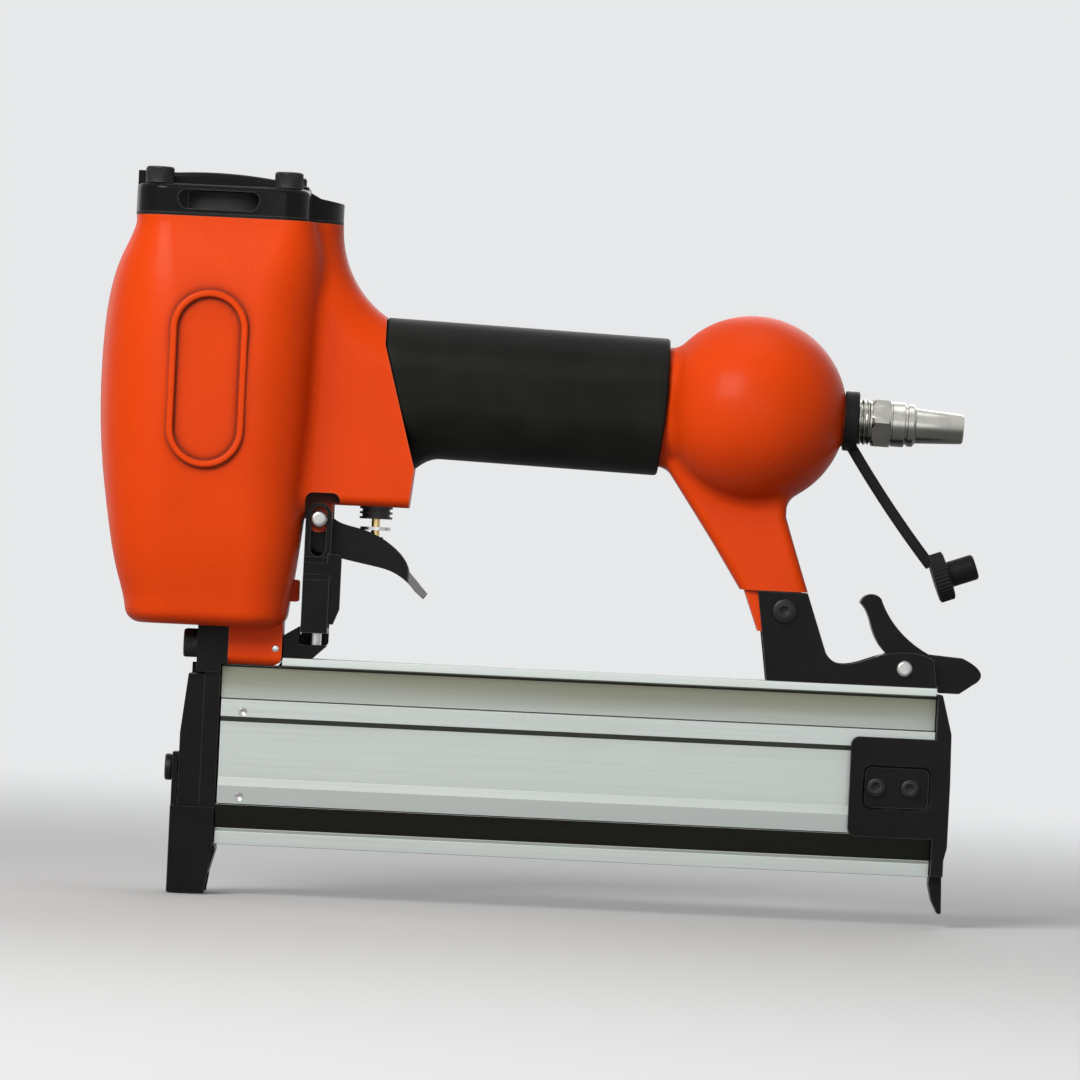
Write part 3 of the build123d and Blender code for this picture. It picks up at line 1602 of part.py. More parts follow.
# Trigger valve
valve_axis = Axis((valve_x, 0, 0), (0, 0, 1))
with BuildPart() as trigger_valve_body:
    valve_top_z = root_bottom_z + valve_body_height
    with BuildSketch(Plane.XZ):
        with BuildLine():
            Polyline(
                (valve_x + stem_radius + shaft_gap, valve_low_z),
                (valve_x + valve_nose_radius, valve_low_z),
                (valve_x + valve_nose_radius, root_bottom_z),
                (valve_x + valve_body_radius, root_bottom_z),
                (valve_x + valve_body_radius, valve_top_z),
                (valve_x + valve_vent_radius, valve_top_z),
                (valve_x + valve_vent_radius, chamber_top_z),
                (valve_x + valve_chamber_radius, chamber_top_z),
                (valve_x + valve_chamber_radius, chamber_floor_z),
                (valve_x + stem_radius + shaft_gap, chamber_floor_z),
                close=True,
            )
        make_face()
    revolve(axis=valve_axis)
    for rise in valve_ring_rises:
        with BuildSketch(Plane.XY.offset(root_bottom_z + rise - valve_ring_wire - seat_gap)):
            with Locations((valve_x, 0)):
                Circle(valve_body_radius + overcut)
                Circle(valve_body_radius - 2 * valve_ring_wire - seat_gap, mode=Mode.SUBTRACT)
        extrude(amount=2 * (valve_ring_wire + seat_gap), mode=Mode.SUBTRACT)
    for drop in valve_groove_drops:
        with BuildSketch(Plane.XY.offset(root_bottom_z - drop - valve_groove_height)):
            with Locations((valve_x, 0)):
                Circle(valve_nose_radius + overcut)
                Circle(valve_groove_radius, mode=Mode.SUBTRACT)
        extrude(amount=valve_groove_height, mode=Mode.SUBTRACT)
keep(trigger_valve_body, "trigger_valve_body")

with BuildPart() as valve_o_rings:
    for rise in valve_ring_rises:
        with Locations((valve_x, 0, root_bottom_z + rise)):
            Torus(valve_body_radius - valve_ring_wire, valve_ring_wire)
keep(valve_o_rings, "valve_o_rings")

with BuildPart() as valve_stem:
    stem_head_top_z = stem_head_z + stem_head_height
    with Locations((valve_x, 0, stem_tip_z)):
        Cylinder(stem_radius, stem_head_z - stem_tip_z, align=upward)
    with Locations((valve_x, 0, stem_head_z)):
        Cylinder(stem_head_radius, stem_head_height, align=upward)
    with Locations((valve_x, 0, stem_head_top_z)):
        Cylinder(stem_tail_radius, stem_tail, align=upward)
    stem_ring_z = stem_head_z + stem_head_height / 2
    stem_groove_radius = valve_chamber_radius - shaft_gap - 2 * stem_ring_wire - seat_gap
    with BuildSketch(Plane.XY.offset(stem_ring_z - stem_ring_wire - seat_gap)):
        with Locations((valve_x, 0)):
            Circle(valve_chamber_radius)
            Circle(stem_groove_radius, mode=Mode.SUBTRACT)
    extrude(amount=2 * (stem_ring_wire + seat_gap), mode=Mode.SUBTRACT)
keep(valve_stem, "valve_stem")

with BuildPart() as stem_o_ring:
    with Locations((valve_x, 0, stem_ring_z)):
        Torus(valve_chamber_radius - shaft_gap - stem_ring_wire, stem_ring_wire)
keep(stem_o_ring, "stem_o_ring")

with BuildPart() as stem_clip:
    with Locations((valve_x, 0, root_bottom_z - stem_clip_drop)):
        Cylinder(stem_clip_radius, stem_clip_thickness)
        Cylinder(stem_radius + seat_gap, 2 * stem_clip_thickness, mode=Mode.SUBTRACT)
keep(stem_clip, "stem_clip")

with BuildPart() as valve_spring:
    with Locations((valve_x, 0, stem_head_top_z)):
        add(
            coil(
                valve_spring_radius,
                valve_spring_wire,
                chamber_top_z - stem_head_top_z,
                valve_spring_turns,
            )
        )
keep(valve_spring, "valve_spring")

# Magazine rail, cover and screws
with BuildPart() as fixed_magazine:
    rail_section = outline(
        across(mag_front_x),
        (
            (-flange_half, mag_top_z),
            (flange_half, mag_top_z),
            (flange_half, mag_top_z - flange_thickness),
            (neck_half, mag_top_z - flange_thickness - neck_bevel),
            (neck_half, shelf_z + far_bevel),
            (far_face_y, shelf_z - far_bevel),
            (far_face_y, ledge_z + far_bevel),
            (skirt_half, skirt_z),
            (sole_half, mag_bottom_z + sole_thickness),
            (sole_half, mag_bottom_z),
            (-sole_half, mag_bottom_z),
            (-sole_half, mag_bottom_z + sole_thickness),
            (-skirt_half, skirt_z),
            (-ledge_half, ledge_z),
            (nail_slot_half, ledge_z),
            (nail_slot_half, shelf_z),
            (-neck_half, shelf_z),
            (-neck_half, mag_top_z - flange_thickness - neck_bevel),
            (-flange_half, mag_top_z - flange_thickness),
        ),
    )
    extrude(rail_section, amount=mag_rear_x - mag_front_x)
    with BuildSketch(across(mag_front_x)):
        with Locations((0, (nail_slot_bottom_z + nail_slot_top_z) / 2)):
            Rectangle(2 * nail_slot_half, nail_slot_top_z - nail_slot_bottom_z)
        with Locations((groove_y, ledge_z), (groove_y, shelf_z)):
            Rectangle(2 * groove_half, 2 * groove_depth)
        core_low = ledge_z + core_floor
        core_high = shelf_z - core_floor
        core_near = nail_slot_half + core_wall
        core_far = far_face_y - core_wall
        with Locations(((core_near + core_far) / 2, (core_low + core_high) / 2)):
            Rectangle(core_far - core_near, core_high - core_low)
    extrude(amount=mag_rear_x - mag_front_x, mode=Mode.SUBTRACT)
    with Locations((mag_front_x, 0, boss_bottom_z - notch_gap)):
        Box(
            boss_rear_x + notch_gap - mag_front_x,
            4 * flange_half,
            mag_top_z,
            align=(Align.MIN, Align.CENTER, Align.MIN),
            mode=Mode.SUBTRACT,
        )
    for level in (mag_screw_low_z, mag_screw_high_z):
        with Locations(facing(mag_front_x, mag_screw_y, level, (1, 0, 0))):
            Cylinder(mag_screw_radius + seat_gap, mag_screw_length, align=upward, mode=Mode.SUBTRACT)
    for place_x in web_screw_x:
        for side in (-web_screw_y, web_screw_y):
            with Locations((place_x, side, mag_top_z)):
                Cylinder(web_screw_radius + seat_gap, web_screw_length, align=downward, mode=Mode.SUBTRACT)
keep(fixed_magazine, "fixed_magazine")

with BuildPart() as magazine_screws:
    mag_screw_seat_x = guide_front_x + mag_screw_head
    for level in (mag_screw_low_z, mag_screw_high_z):
        with Locations(facing(mag_screw_seat_x, mag_screw_y, level, (-1, 0, 0))):
            add(
                socket_screw(
                    mag_screw_head_radius,
                    mag_screw_head,
                    mag_screw_radius,
                    mag_screw_length,
                    mag_screw_radius,
                )
            )
keep(magazine_screws, "magazine_screws")

with BuildPart() as magazine_cover:
    tongue_near = groove_y - groove_half + slide_gap
    tongue_far = groove_y + groove_half - slide_gap
    tongue_low = ledge_z - groove_depth + slide_gap
    tongue_high = shelf_z + groove_depth - slide_gap
    cover_section = outline(
        across(cover_front_x),
        (
            (-nail_slot_half, cover_low_z),
            (tongue_far, cover_low_z),
            (tongue_far, tongue_low),
            (tongue_near, tongue_low),
            (tongue_near, cover_low_z),
            (-rib_half, cover_low_z),
            (-rib_half, lower_rib_z),
            (-panel_half, lower_panel_z),
            (-panel_half, upper_panel_z),
            (-rib_half, upper_rib_z),
            (-rib_half, cover_high_z),
            (tongue_near, cover_high_z),
            (tongue_near, tongue_high),
            (tongue_far, tongue_high),
            (tongue_far, cover_high_z),
            (-nail_slot_half, cover_high_z),
        ),
    )
    extrude(cover_section, amount=mag_rear_x - cover_front_x)
    with BuildSketch(across(cover_front_x)):
        with Locations((track_y, track_z)):
            Rectangle(2 * track_half, 2 * track_half_height)
        with Locations((-nail_slot_half, track_z)):
            Rectangle(2 * (track_half + nail_slot_half), 2 * track_slot_half)
    extrude(amount=mag_rear_x - cover_front_x, mode=Mode.SUBTRACT)
    for level in (dimple_low_z, dimple_high_z):
        with Locations(facing(dimple_x, -rib_half, level, (0, 1, 0))):
            Cylinder(dimple_radius, dimple_depth, align=upward, mode=Mode.SUBTRACT)
    for place_x in tail_screw_x:
        with Locations(facing(place_x, -rib_half, tail_screw_z, (0, 1, 0))):
            Cylinder(tail_screw_radius + seat_gap, track_half, align=upward, mode=Mode.SUBTRACT)
keep(magazine_cover, "magazine_cover")

# Pusher, rod and spring
with BuildPart() as pusher:
    with Locations((pusher_front_x, track_y, track_z)):
        Box(
            pusher_length,
            2 * (track_half - slide_gap),
            2 * (track_half_height - slide_gap),
            align=(Align.MIN, Align.CENTER, Align.CENTER),
        )
    with Locations((pusher_front_x, track_y, track_z)):
        Box(
            pusher_length,
            blade_half - track_y,
            2 * (track_slot_half - slide_gap),
            align=(Align.MIN, Align.MIN, Align.CENTER),
        )
    with Locations((cover_front_x, 0, nail_slot_bottom_z + slide_gap)):
        Box(
            blade_length,
            2 * blade_half,
            nail_slot_top_z - nail_slot_bottom_z - 2 * slide_gap,
            align=(Align.MIN, Align.CENTER, Align.MIN),
        )
    with Locations(facing(pusher_front_x, track_y, track_z, (1, 0, 0))):
        Cylinder(rod_radius + slide_gap, pusher_length, align=upward, mode=Mode.SUBTRACT)
keep(pusher, "pusher")

with BuildPart() as pusher_rod:
    rod_front_x = cover_front_x + rod_front_gap
    rod_rear_x = tail_front_x + rod_end_depth
    with Locations(facing(rod_front_x, track_y, track_z, (1, 0, 0))):
        Cylinder(rod_radius, rod_rear_x - rod_front_x, align=upward)
keep(pusher_rod, "pusher_rod")

with BuildPart() as pusher_spring:
    with Locations(facing(pusher_rear_x, track_y, track_z, (1, 0, 0))):
        add(
            coil(
                pusher_spring_radius,
                pusher_spring_wire,
                tail_front_x - pusher_rear_x,
                pusher_spring_turns,
            )
        )
keep(pusher_spring, "pusher_spring")

# Tail plate and its screws
tail_near_y = -rib_half - tail_side
with BuildPart() as tail_plate:
    tail_side_rear_x = tail_front_x + tail_side_round
    side_middle = (
        (tail_side_front_x + tail_side_rear_x) / 2,
        (tail_side_low_z + tail_side_high_z) / 2,
    )
    with BuildSketch(beside(-rib_half)):
        with Locations(side_middle):
            RectangleRounded(
                tail_side_rear_x - tail_side_front_x,
                tail_side_high_z - tail_side_low_z,
                tail_side_round,
            )
    extrude(amount=tail_side)
    with Locations((tail_pad_front_x, -panel_half, (lower_panel_z + upper_panel_z) / 2)):
        Box(
            tail_front_x - tail_pad_front_x,
            rib_half - panel_half,
            upper_panel_z - lower_panel_z,
            align=(Align.MIN, Align.MAX, Align.CENTER),
        )
    end_outline = outline(
        beside(tail_far_y),
        (
            (tail_front_x, tail_low_z),
            (tail_waist[0], tail_low_z),
            tail_waist,
            tail_hip,
            (tail_bulge_x, track_z),
            tail_shoulder,
            (tail_top_x, tail_top_z),
            (tail_front_x, tail_top_z),
        ),
    )
    extrude(end_outline, amount=tail_far_y - tail_near_y)
    pull_outline = outline(
        Plane.XZ,
        (
            (tail_front_x, tail_low_z),
            (tail_waist[0], tail_low_z),
            pull_back,
            pull_tip,
            pull_hollow,
            (tail_front_x, pull_neck_z),
        ),
    )
    extrude(pull_outline, amount=pull_half, both=True)
    recess_middle = ((recess_front_x + recess_rear_x) / 2, (recess_low_z + recess_high_z) / 2)
    with BuildSketch(beside(tail_near_y)):
        with Locations(recess_middle):
            RectangleRounded(recess_rear_x - recess_front_x, recess_high_z - recess_low_z, recess_round)
    extrude(amount=-recess_depth, mode=Mode.SUBTRACT)
    recess_rim = edges_within(
        tail_plate.edges(),
        (recess_front_x - slide_gap, tail_near_y - slide_gap, recess_low_z - slide_gap),
        (recess_rear_x + slide_gap, tail_near_y + slide_gap, recess_high_z + slide_gap),
    )
    chamfer(recess_rim, recess_slope)
    for place_x in tail_screw_x:
        with Locations(facing(place_x, tail_near_y, tail_screw_z, (0, 1, 0))):
            Cylinder(tail_screw_radius + seat_gap, 2 * tail_side, align=upward, mode=Mode.SUBTRACT)
    with Locations(facing(tail_front_x, track_y, track_z, (1, 0, 0))):
        Cylinder(rod_radius + seat_gap, rod_end_depth, align=upward, mode=Mode.SUBTRACT)
keep(tail_plate, "tail_plate")

with BuildPart() as tail_screws:
    for place_x in tail_screw_x:
        with Locations(facing(place_x, tail_near_y + recess_depth, tail_screw_z, (0, -1, 0))):
            add(
                socket_screw(
                    tail_screw_head_radius,
                    tail_screw_head,
                    tail_screw_radius,
                    tail_screw_length,
                    tail_screw_key,
                )
            )
keep(tail_screws, "tail_screws")

# Rear bracket, latch, pins and springs
with BuildPart() as rear_bracket:
    bracket_low_z = mag_top_z + seat_gap
    for far_y in (-bracket_inner, bracket_outer):
        with BuildSketch(beside(far_y)):
            with BuildLine():
                Polyline(*bracket_top, bracket_curve[0])
                Spline(*bracket_curve)
                Polyline(
                    bracket_curve[-1],
                    (bracket_rear_low_x, bracket_low_z),
                    (bracket_front_low_x, bracket_low_z),
                    bracket_top[0],
                )
            make_face()
        extrude(amount=sheet)
    with Locations((bracket_web_front_x, 0, bracket_low_z)):
        Box(
            bracket_web_rear_x - bracket_web_front_x,
            2 * bracket_inner,
            sheet,
            align=(Align.MIN, Align.CENTER, Align.MIN),
        )
    with Locations(facing(bracket_screw_x, 0, bracket_screw_z, (0, 1, 0))):
        Cylinder(bracket_screw_radius + seat_gap, 4 * bracket_outer, mode=Mode.SUBTRACT)
    with Locations(facing(latch_pin_x, 0, latch_pin_z, (0, 1, 0))):
        Cylinder(latch_pin_radius + seat_gap, 4 * bracket_outer, mode=Mode.SUBTRACT)
    for place_x in web_screw_x:
        for side in (-web_screw_y, web_screw_y):
            with Locations((place_x, side, bracket_low_z)):
                Cylinder(web_screw_radius + seat_gap, 2 * sheet, align=upward, mode=Mode.SUBTRACT)
keep(rear_bracket, "rear_bracket")

with BuildPart() as bracket_screw:
    with Locations(facing(bracket_screw_x, -bracket_outer, bracket_screw_z, (0, -1, 0))):
        add(
            socket_screw(
                bracket_screw_head_radius,
                bracket_screw_head,
                bracket_screw_radius,
                2 * bracket_outer + bracket_nut_height + bracket_screw_spare,
                bracket_screw_key,
            )
        )
keep(bracket_screw, "bracket_screw")

with BuildPart() as bracket_nut:
    with BuildSketch(facing(bracket_screw_x, bracket_outer, bracket_screw_z, (0, 1, 0))):
        RegularPolygon(bracket_nut_width / 2, 6, major_radius=False)
        Circle(bracket_screw_radius + seat_gap, mode=Mode.SUBTRACT)
    extrude(amount=bracket_nut_height)
keep(bracket_nut, "bracket_nut")

with BuildPart() as bracket_magazine_screws:
    for place_x in web_screw_x:
        for side in (-web_screw_y, web_screw_y):
            with Locations((place_x, side, web_top_z)):
                add(
                    socket_screw(
                        web_screw_head_radius,
                        web_screw_head,
                        web_screw_radius,
                        web_screw_length,
                        web_screw_key,
                    )
                )
keep(bracket_magazine_screws, "bracket_magazine_screws")

with BuildPart() as latch:
    hook_low_z = tail_top_z + hook_clearance
    with BuildSketch(beside(latch_half_width)):
        with BuildLine():
            Polyline((latch_seat_front_x, latch_seat_z), (latch_seat_front_x, latch_nose_z), latch_lever[0])
            Spline(*latch_lever)
            ThreePointArc(latch_lever[-1], latch_tip, latch_front[0])
            Spline(*latch_front)
            Line(latch_front[-1], latch_back[0])
            Spline(*latch_back)
            Polyline(
                latch_back[-1],
                (latch_hook_rear_x, hook_low_z),
                (latch_hook_front_x, hook_low_z),
                latch_throat,
                (latch_pin_x, latch_pin_z - latch_boss_radius),
                (latch_pin_x - latch_boss_radius, latch_seat_z),
                (latch_seat_front_x, latch_seat_z),
            )
        make_face()
    extrude(amount=2 * latch_half_width)
    with Locations(facing(latch_pin_x, 0, latch_pin_z, (0, 1, 0))):
        Cylinder(latch_boss_radius, 2 * latch_half_width)
        Cylinder(latch_pin_radius + shaft_gap, 4 * latch_half_width, mode=Mode.SUBTRACT)
keep(latch, "latch")

with BuildPart() as latch_pin:
    with Locations(facing(latch_pin_x, 0, latch_pin_z, (0, 1, 0))):
        Cylinder(latch_pin_radius, 2 * bracket_outer)
    for direction in (-1, 1):
        with Locations(facing(latch_pin_x, direction * bracket_outer, latch_pin_z, (0, direction, 0))):
            Cylinder(latch_pin_head_radius, latch_pin_head, align=upward)
    fillet(latch_pin.edges().group_by(Axis.Y)[0], latch_pin_dome)
    fillet(latch_pin.edges().group_by(Axis.Y)[-1], latch_pin_dome)
keep(latch_pin, "latch_pin")

with BuildPart() as latch_spring:
    with Locations((latch_spring_x, 0, web_top_z)):
        add(coil(latch_spring_radius, latch_spring_wire, latch_seat_z - web_top_z, latch_spring_turns))
keep(latch_spring, "latch_spring")

# Air plug and the dust cap that hangs from it
plug_side = Plane(origin=ball_center, x_dir=handle_direction, z_dir=(0, -1, 0))
handle_axis = Axis(ball_center, handle_direction)
with BuildPart() as air_plug:
    with BuildSketch(plug_side):
        with BuildLine():
            Polyline(
                (plug_thread_start, plug_bore_radius),
                (plug_thread_start, plug_thread_radius),
                (inlet_boss_reach, plug_thread_radius),
                (inlet_boss_reach, plug_collar_radius),
                (plug_collar_end, plug_collar_radius),
                (plug_hex_end, plug_collar_radius),
                (plug_hex_end, plug_shoulder_radius),
                (plug_shoulder_end, plug_shoulder_radius),
                (plug_shoulder_end, plug_groove_radius),
                (plug_shoulder_end + plug_groove, plug_groove_radius),
                (plug_shoulder_end + plug_groove, plug_ring_radius),
                (plug_ring_end - plug_groove, plug_ring_radius),
                (plug_ring_end, plug_cone_radius),
                (plug_tip_end - plug_tip_chamfer, plug_tip_radius),
                (plug_tip_end, plug_tip_radius - plug_tip_chamfer),
                (plug_tip_end, plug_bore_radius),
                close=True,
            )
        make_face()
    revolve(axis=handle_axis)
    hex_plane = Plane(
        origin=ball_center + handle_direction * plug_collar_end,
        x_dir=(0, 1, 0),
        z_dir=handle_direction,
    )
    with BuildSketch(hex_plane):
        RegularPolygon(plug_hex_flats / 2, 6, major_radius=False)
        Circle(plug_bore_radius, mode=Mode.SUBTRACT)
    extrude(amount=plug_hex_end - plug_collar_end)
keep(air_plug, "air_plug")

with BuildPart() as dust_cap:
    ring_plane = Plane(
        origin=ball_center + handle_direction * (inlet_boss_reach + cap_ring_start_gap),
        x_dir=(0, 1, 0),
        z_dir=handle_direction,
    )
    with BuildSketch(ring_plane):
        Circle(cap_ring_radius)
    extrude(amount=cap_ring_thickness)
    ring_middle = ring_plane.origin + handle_direction * (cap_ring_thickness / 2)
    strap_top = (ring_middle.X, ring_middle.Z - cap_ring_radius + strap_sink)
    with BuildSketch(Plane.XZ):
        with BuildLine():
            ThreePointArc(strap_top, strap_middle, strap_low)
        trace(line_width=strap_thickness)
    extrude(amount=strap_width / 2, both=True)
    with BuildSketch(ring_plane):
        Circle(plug_collar_radius + slide_gap)
    extrude(amount=cap_ring_thickness, mode=Mode.SUBTRACT)
    tilt = radians(bung_tilt)
    bung_plane = Plane(origin=(bung_x, 0, bung_z), x_dir=(0, 1, 0), z_dir=(cos(tilt), 0, sin(tilt)))
    with Locations(bung_plane):
        Cylinder(bung_radius, bung_thickness)
        with PolarLocations(bung_radius, bung_ribs):
            Cylinder(bung_rib_radius, bung_thickness)
        Cylinder(bung_stem_radius, bung_thickness / 2 + bung_stem, align=upward)
keep(dust_cap, "dust_cap")
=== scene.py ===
"""Looks of a pneumatic brad nailer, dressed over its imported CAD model.

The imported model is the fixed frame. Each operator finishes one piece or one group of like
pieces: it gives CAD nodes their finish, or builds a finer mesh that stands for a node.
Lengths are in metres, in the CAD frame: +X to the rear of the tool, +Y to its far side and
+Z up the driver, with the sole of the contact foot at the origin.
"""

import json
import math

import bmesh
import bpy
from bpy.props import FloatProperty, FloatVectorProperty, IntProperty, PointerProperty
from bpy.types import Operator, Panel, PropertyGroup
from mathutils import Matrix, Vector

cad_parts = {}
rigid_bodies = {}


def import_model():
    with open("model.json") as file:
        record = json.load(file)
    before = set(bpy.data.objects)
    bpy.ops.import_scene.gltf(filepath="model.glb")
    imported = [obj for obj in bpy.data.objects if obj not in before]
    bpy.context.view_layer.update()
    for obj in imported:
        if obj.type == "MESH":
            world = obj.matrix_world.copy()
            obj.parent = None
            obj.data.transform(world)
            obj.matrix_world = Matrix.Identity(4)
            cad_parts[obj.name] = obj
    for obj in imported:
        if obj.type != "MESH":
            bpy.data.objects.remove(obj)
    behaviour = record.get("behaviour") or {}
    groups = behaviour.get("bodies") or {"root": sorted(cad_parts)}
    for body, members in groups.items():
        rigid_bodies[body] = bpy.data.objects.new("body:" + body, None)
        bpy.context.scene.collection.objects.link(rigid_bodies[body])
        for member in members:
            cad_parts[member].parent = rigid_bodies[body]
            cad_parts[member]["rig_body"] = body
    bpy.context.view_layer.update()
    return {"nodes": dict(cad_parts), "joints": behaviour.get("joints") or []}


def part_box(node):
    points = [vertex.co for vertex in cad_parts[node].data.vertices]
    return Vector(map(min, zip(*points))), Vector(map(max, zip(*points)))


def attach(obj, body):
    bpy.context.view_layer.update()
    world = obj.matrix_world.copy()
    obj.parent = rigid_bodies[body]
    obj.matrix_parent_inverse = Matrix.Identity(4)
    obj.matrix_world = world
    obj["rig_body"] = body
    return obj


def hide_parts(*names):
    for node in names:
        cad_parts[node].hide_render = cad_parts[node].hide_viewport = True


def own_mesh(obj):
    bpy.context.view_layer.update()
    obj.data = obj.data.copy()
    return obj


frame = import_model()

bl_info = {
    "name": "Brad nailer looks",
    "version": (1, 0, 0),
    "blender": (4, 5, 0),
    "location": "3D View > Sidebar > Nailer",
    "description": "Finishes and fine pieces for a pneumatic brad nailer",
    "category": "Object",
}

MM = 0.001
TURN = 2 * math.pi


# Properties

def colour(name, description, default):
    """A colour that a user would change."""
    return FloatVectorProperty(
        name=name, description=description, subtype="COLOR", size=3, min=0, max=1, default=default
    )


def length(name, description, millimetres):
    """A length that a user would change, given in millimetres."""
    metres = millimetres * MM
    return FloatProperty(
        name=name, description=description, subtype="DISTANCE", unit="LENGTH", min=0, default=metres
    )


def count(name, description, default):
    """A number of like features."""
    return IntProperty(name=name, description=description, min=1, default=default)


class NailerColours(PropertyGroup):
    """Base colours of the finishes."""

    paint: colour("Casting paint", "Orange-red satin paint on the casting", (0.870, 0.066, 0.003))
    rubber: colour("Grip rubber", "Rubber of the grip and dust cap", (0.0078, 0.0082, 0.0072))
    enamel: colour("Cap enamel", "Gloss enamel of the cylinder cap", (0.0036, 0.0036, 0.0042))
    coating: colour("Black coating", "Satin coating on steel pieces", (0.0042, 0.0042, 0.0041))
    oxide: colour("Screw oxide", "Black oxide on the socket screws", (0.008, 0.008, 0.008))
    extrusion: colour("Magazine aluminium", "Clear anodised extrusion", (0.445, 0.478, 0.458))
    machined: colour("Machined aluminium", "Bare machined aluminium", (0.66, 0.67, 0.69))
    steel: colour("Bright steel", "Ground steel", (0.60, 0.60, 0.60))
    wire: colour("Spring wire", "Drawn spring wire", (0.48, 0.48, 0.49))
    chrome: colour("Pin chrome", "Bright plated pins", (0.43, 0.43, 0.42))
    nickel: colour("Plug nickel", "Nickel plating of the air plug", (0.56, 0.55, 0.50))
    brass: colour("Stem brass", "Turned brass of the valve stem", (0.70, 0.52, 0.24))
    acetal: colour("Valve plastic", "Moulded black acetal", (0.035, 0.035, 0.038))
    sinter: colour("Muffler", "Porous sintered ring", (0.030, 0.030, 0.030))
    nitrile: colour("Seals", "Black nitrile seals", (0.010, 0.010, 0.010))
    urethane: colour("Bumper", "Amber urethane", (0.45, 0.28, 0.08))


class NailerSizes(PropertyGroup):
    """Sizes of the fine detail."""

    edge: length("Edge break", "Width of the broken edges on sheet and cast pieces", 0.35)
    latch_edge: length("Latch edge", "Rounding of the cast latch", 0.9)
    fine_edge: length("Fine edge break", "Width of the broken edges on extruded pieces", 0.2)
    grip_lip: length("Grip lip", "Radius of the rolled lips of the grip", 1.0)
    knurl_depth: length("Knurl depth", "Depth of the knurl on the socket heads", 0.16)
    knurls: count("Knurls", "Ridges of the knurl round a socket head", 36)
    thread_pitch: length("Plug thread pitch", "Pitch of the thread on the air plug", 1.35)
    thread_depth: length("Plug thread depth", "Depth of the thread on the air plug", 0.55)
    bung_ribs: count("Bung ribs", "Ribs round the dust cap's disc", 40)


class NailerStage(PropertyGroup):
    """Where the camera stands and how pale the stage is."""

    frame_width: length("Frame width", "Width of the picture where the tool stands", 324)
    camera_distance: length("Camera distance", "From the camera to the tool", 2600)
    aim: FloatVectorProperty(
        name="Aim",
        description="Middle of the picture, in the CAD frame",
        subtype="TRANSLATION",
        size=3,
        default=(0.0993, -0.012, 0.1107),
    )
    roll: FloatProperty(
        name="Roll",
        description="How far the rear of the tool dips in the picture",
        subtype="ANGLE",
        default=math.radians(2.7),
    )
    backdrop: colour("Backdrop", "Pale colour behind the tool", (0.80, 0.81, 0.82))
    floor: colour("Floor", "Pale floor under the tool", (0.70, 0.71, 0.72))


# Shader maths

class Socket:
    """One output in a finish. Sums and products of sockets add Math nodes."""

    def __init__(self, finish, source):
        self.finish = finish
        self.source = source

    def math(self, operation, first, second):
        return self.finish.node("Math", {"operation": operation}, {0: first, 1: second})

    def __add__(self, other):
        return self.math("ADD", self, other)

    def __sub__(self, other):
        return self.math("SUBTRACT", self, other)

    def __rsub__(self, other):
        return self.math("SUBTRACT", other, self)

    def __mul__(self, other):
        return self.math("MULTIPLY", self, other)

    __radd__ = __add__
    __rmul__ = __mul__


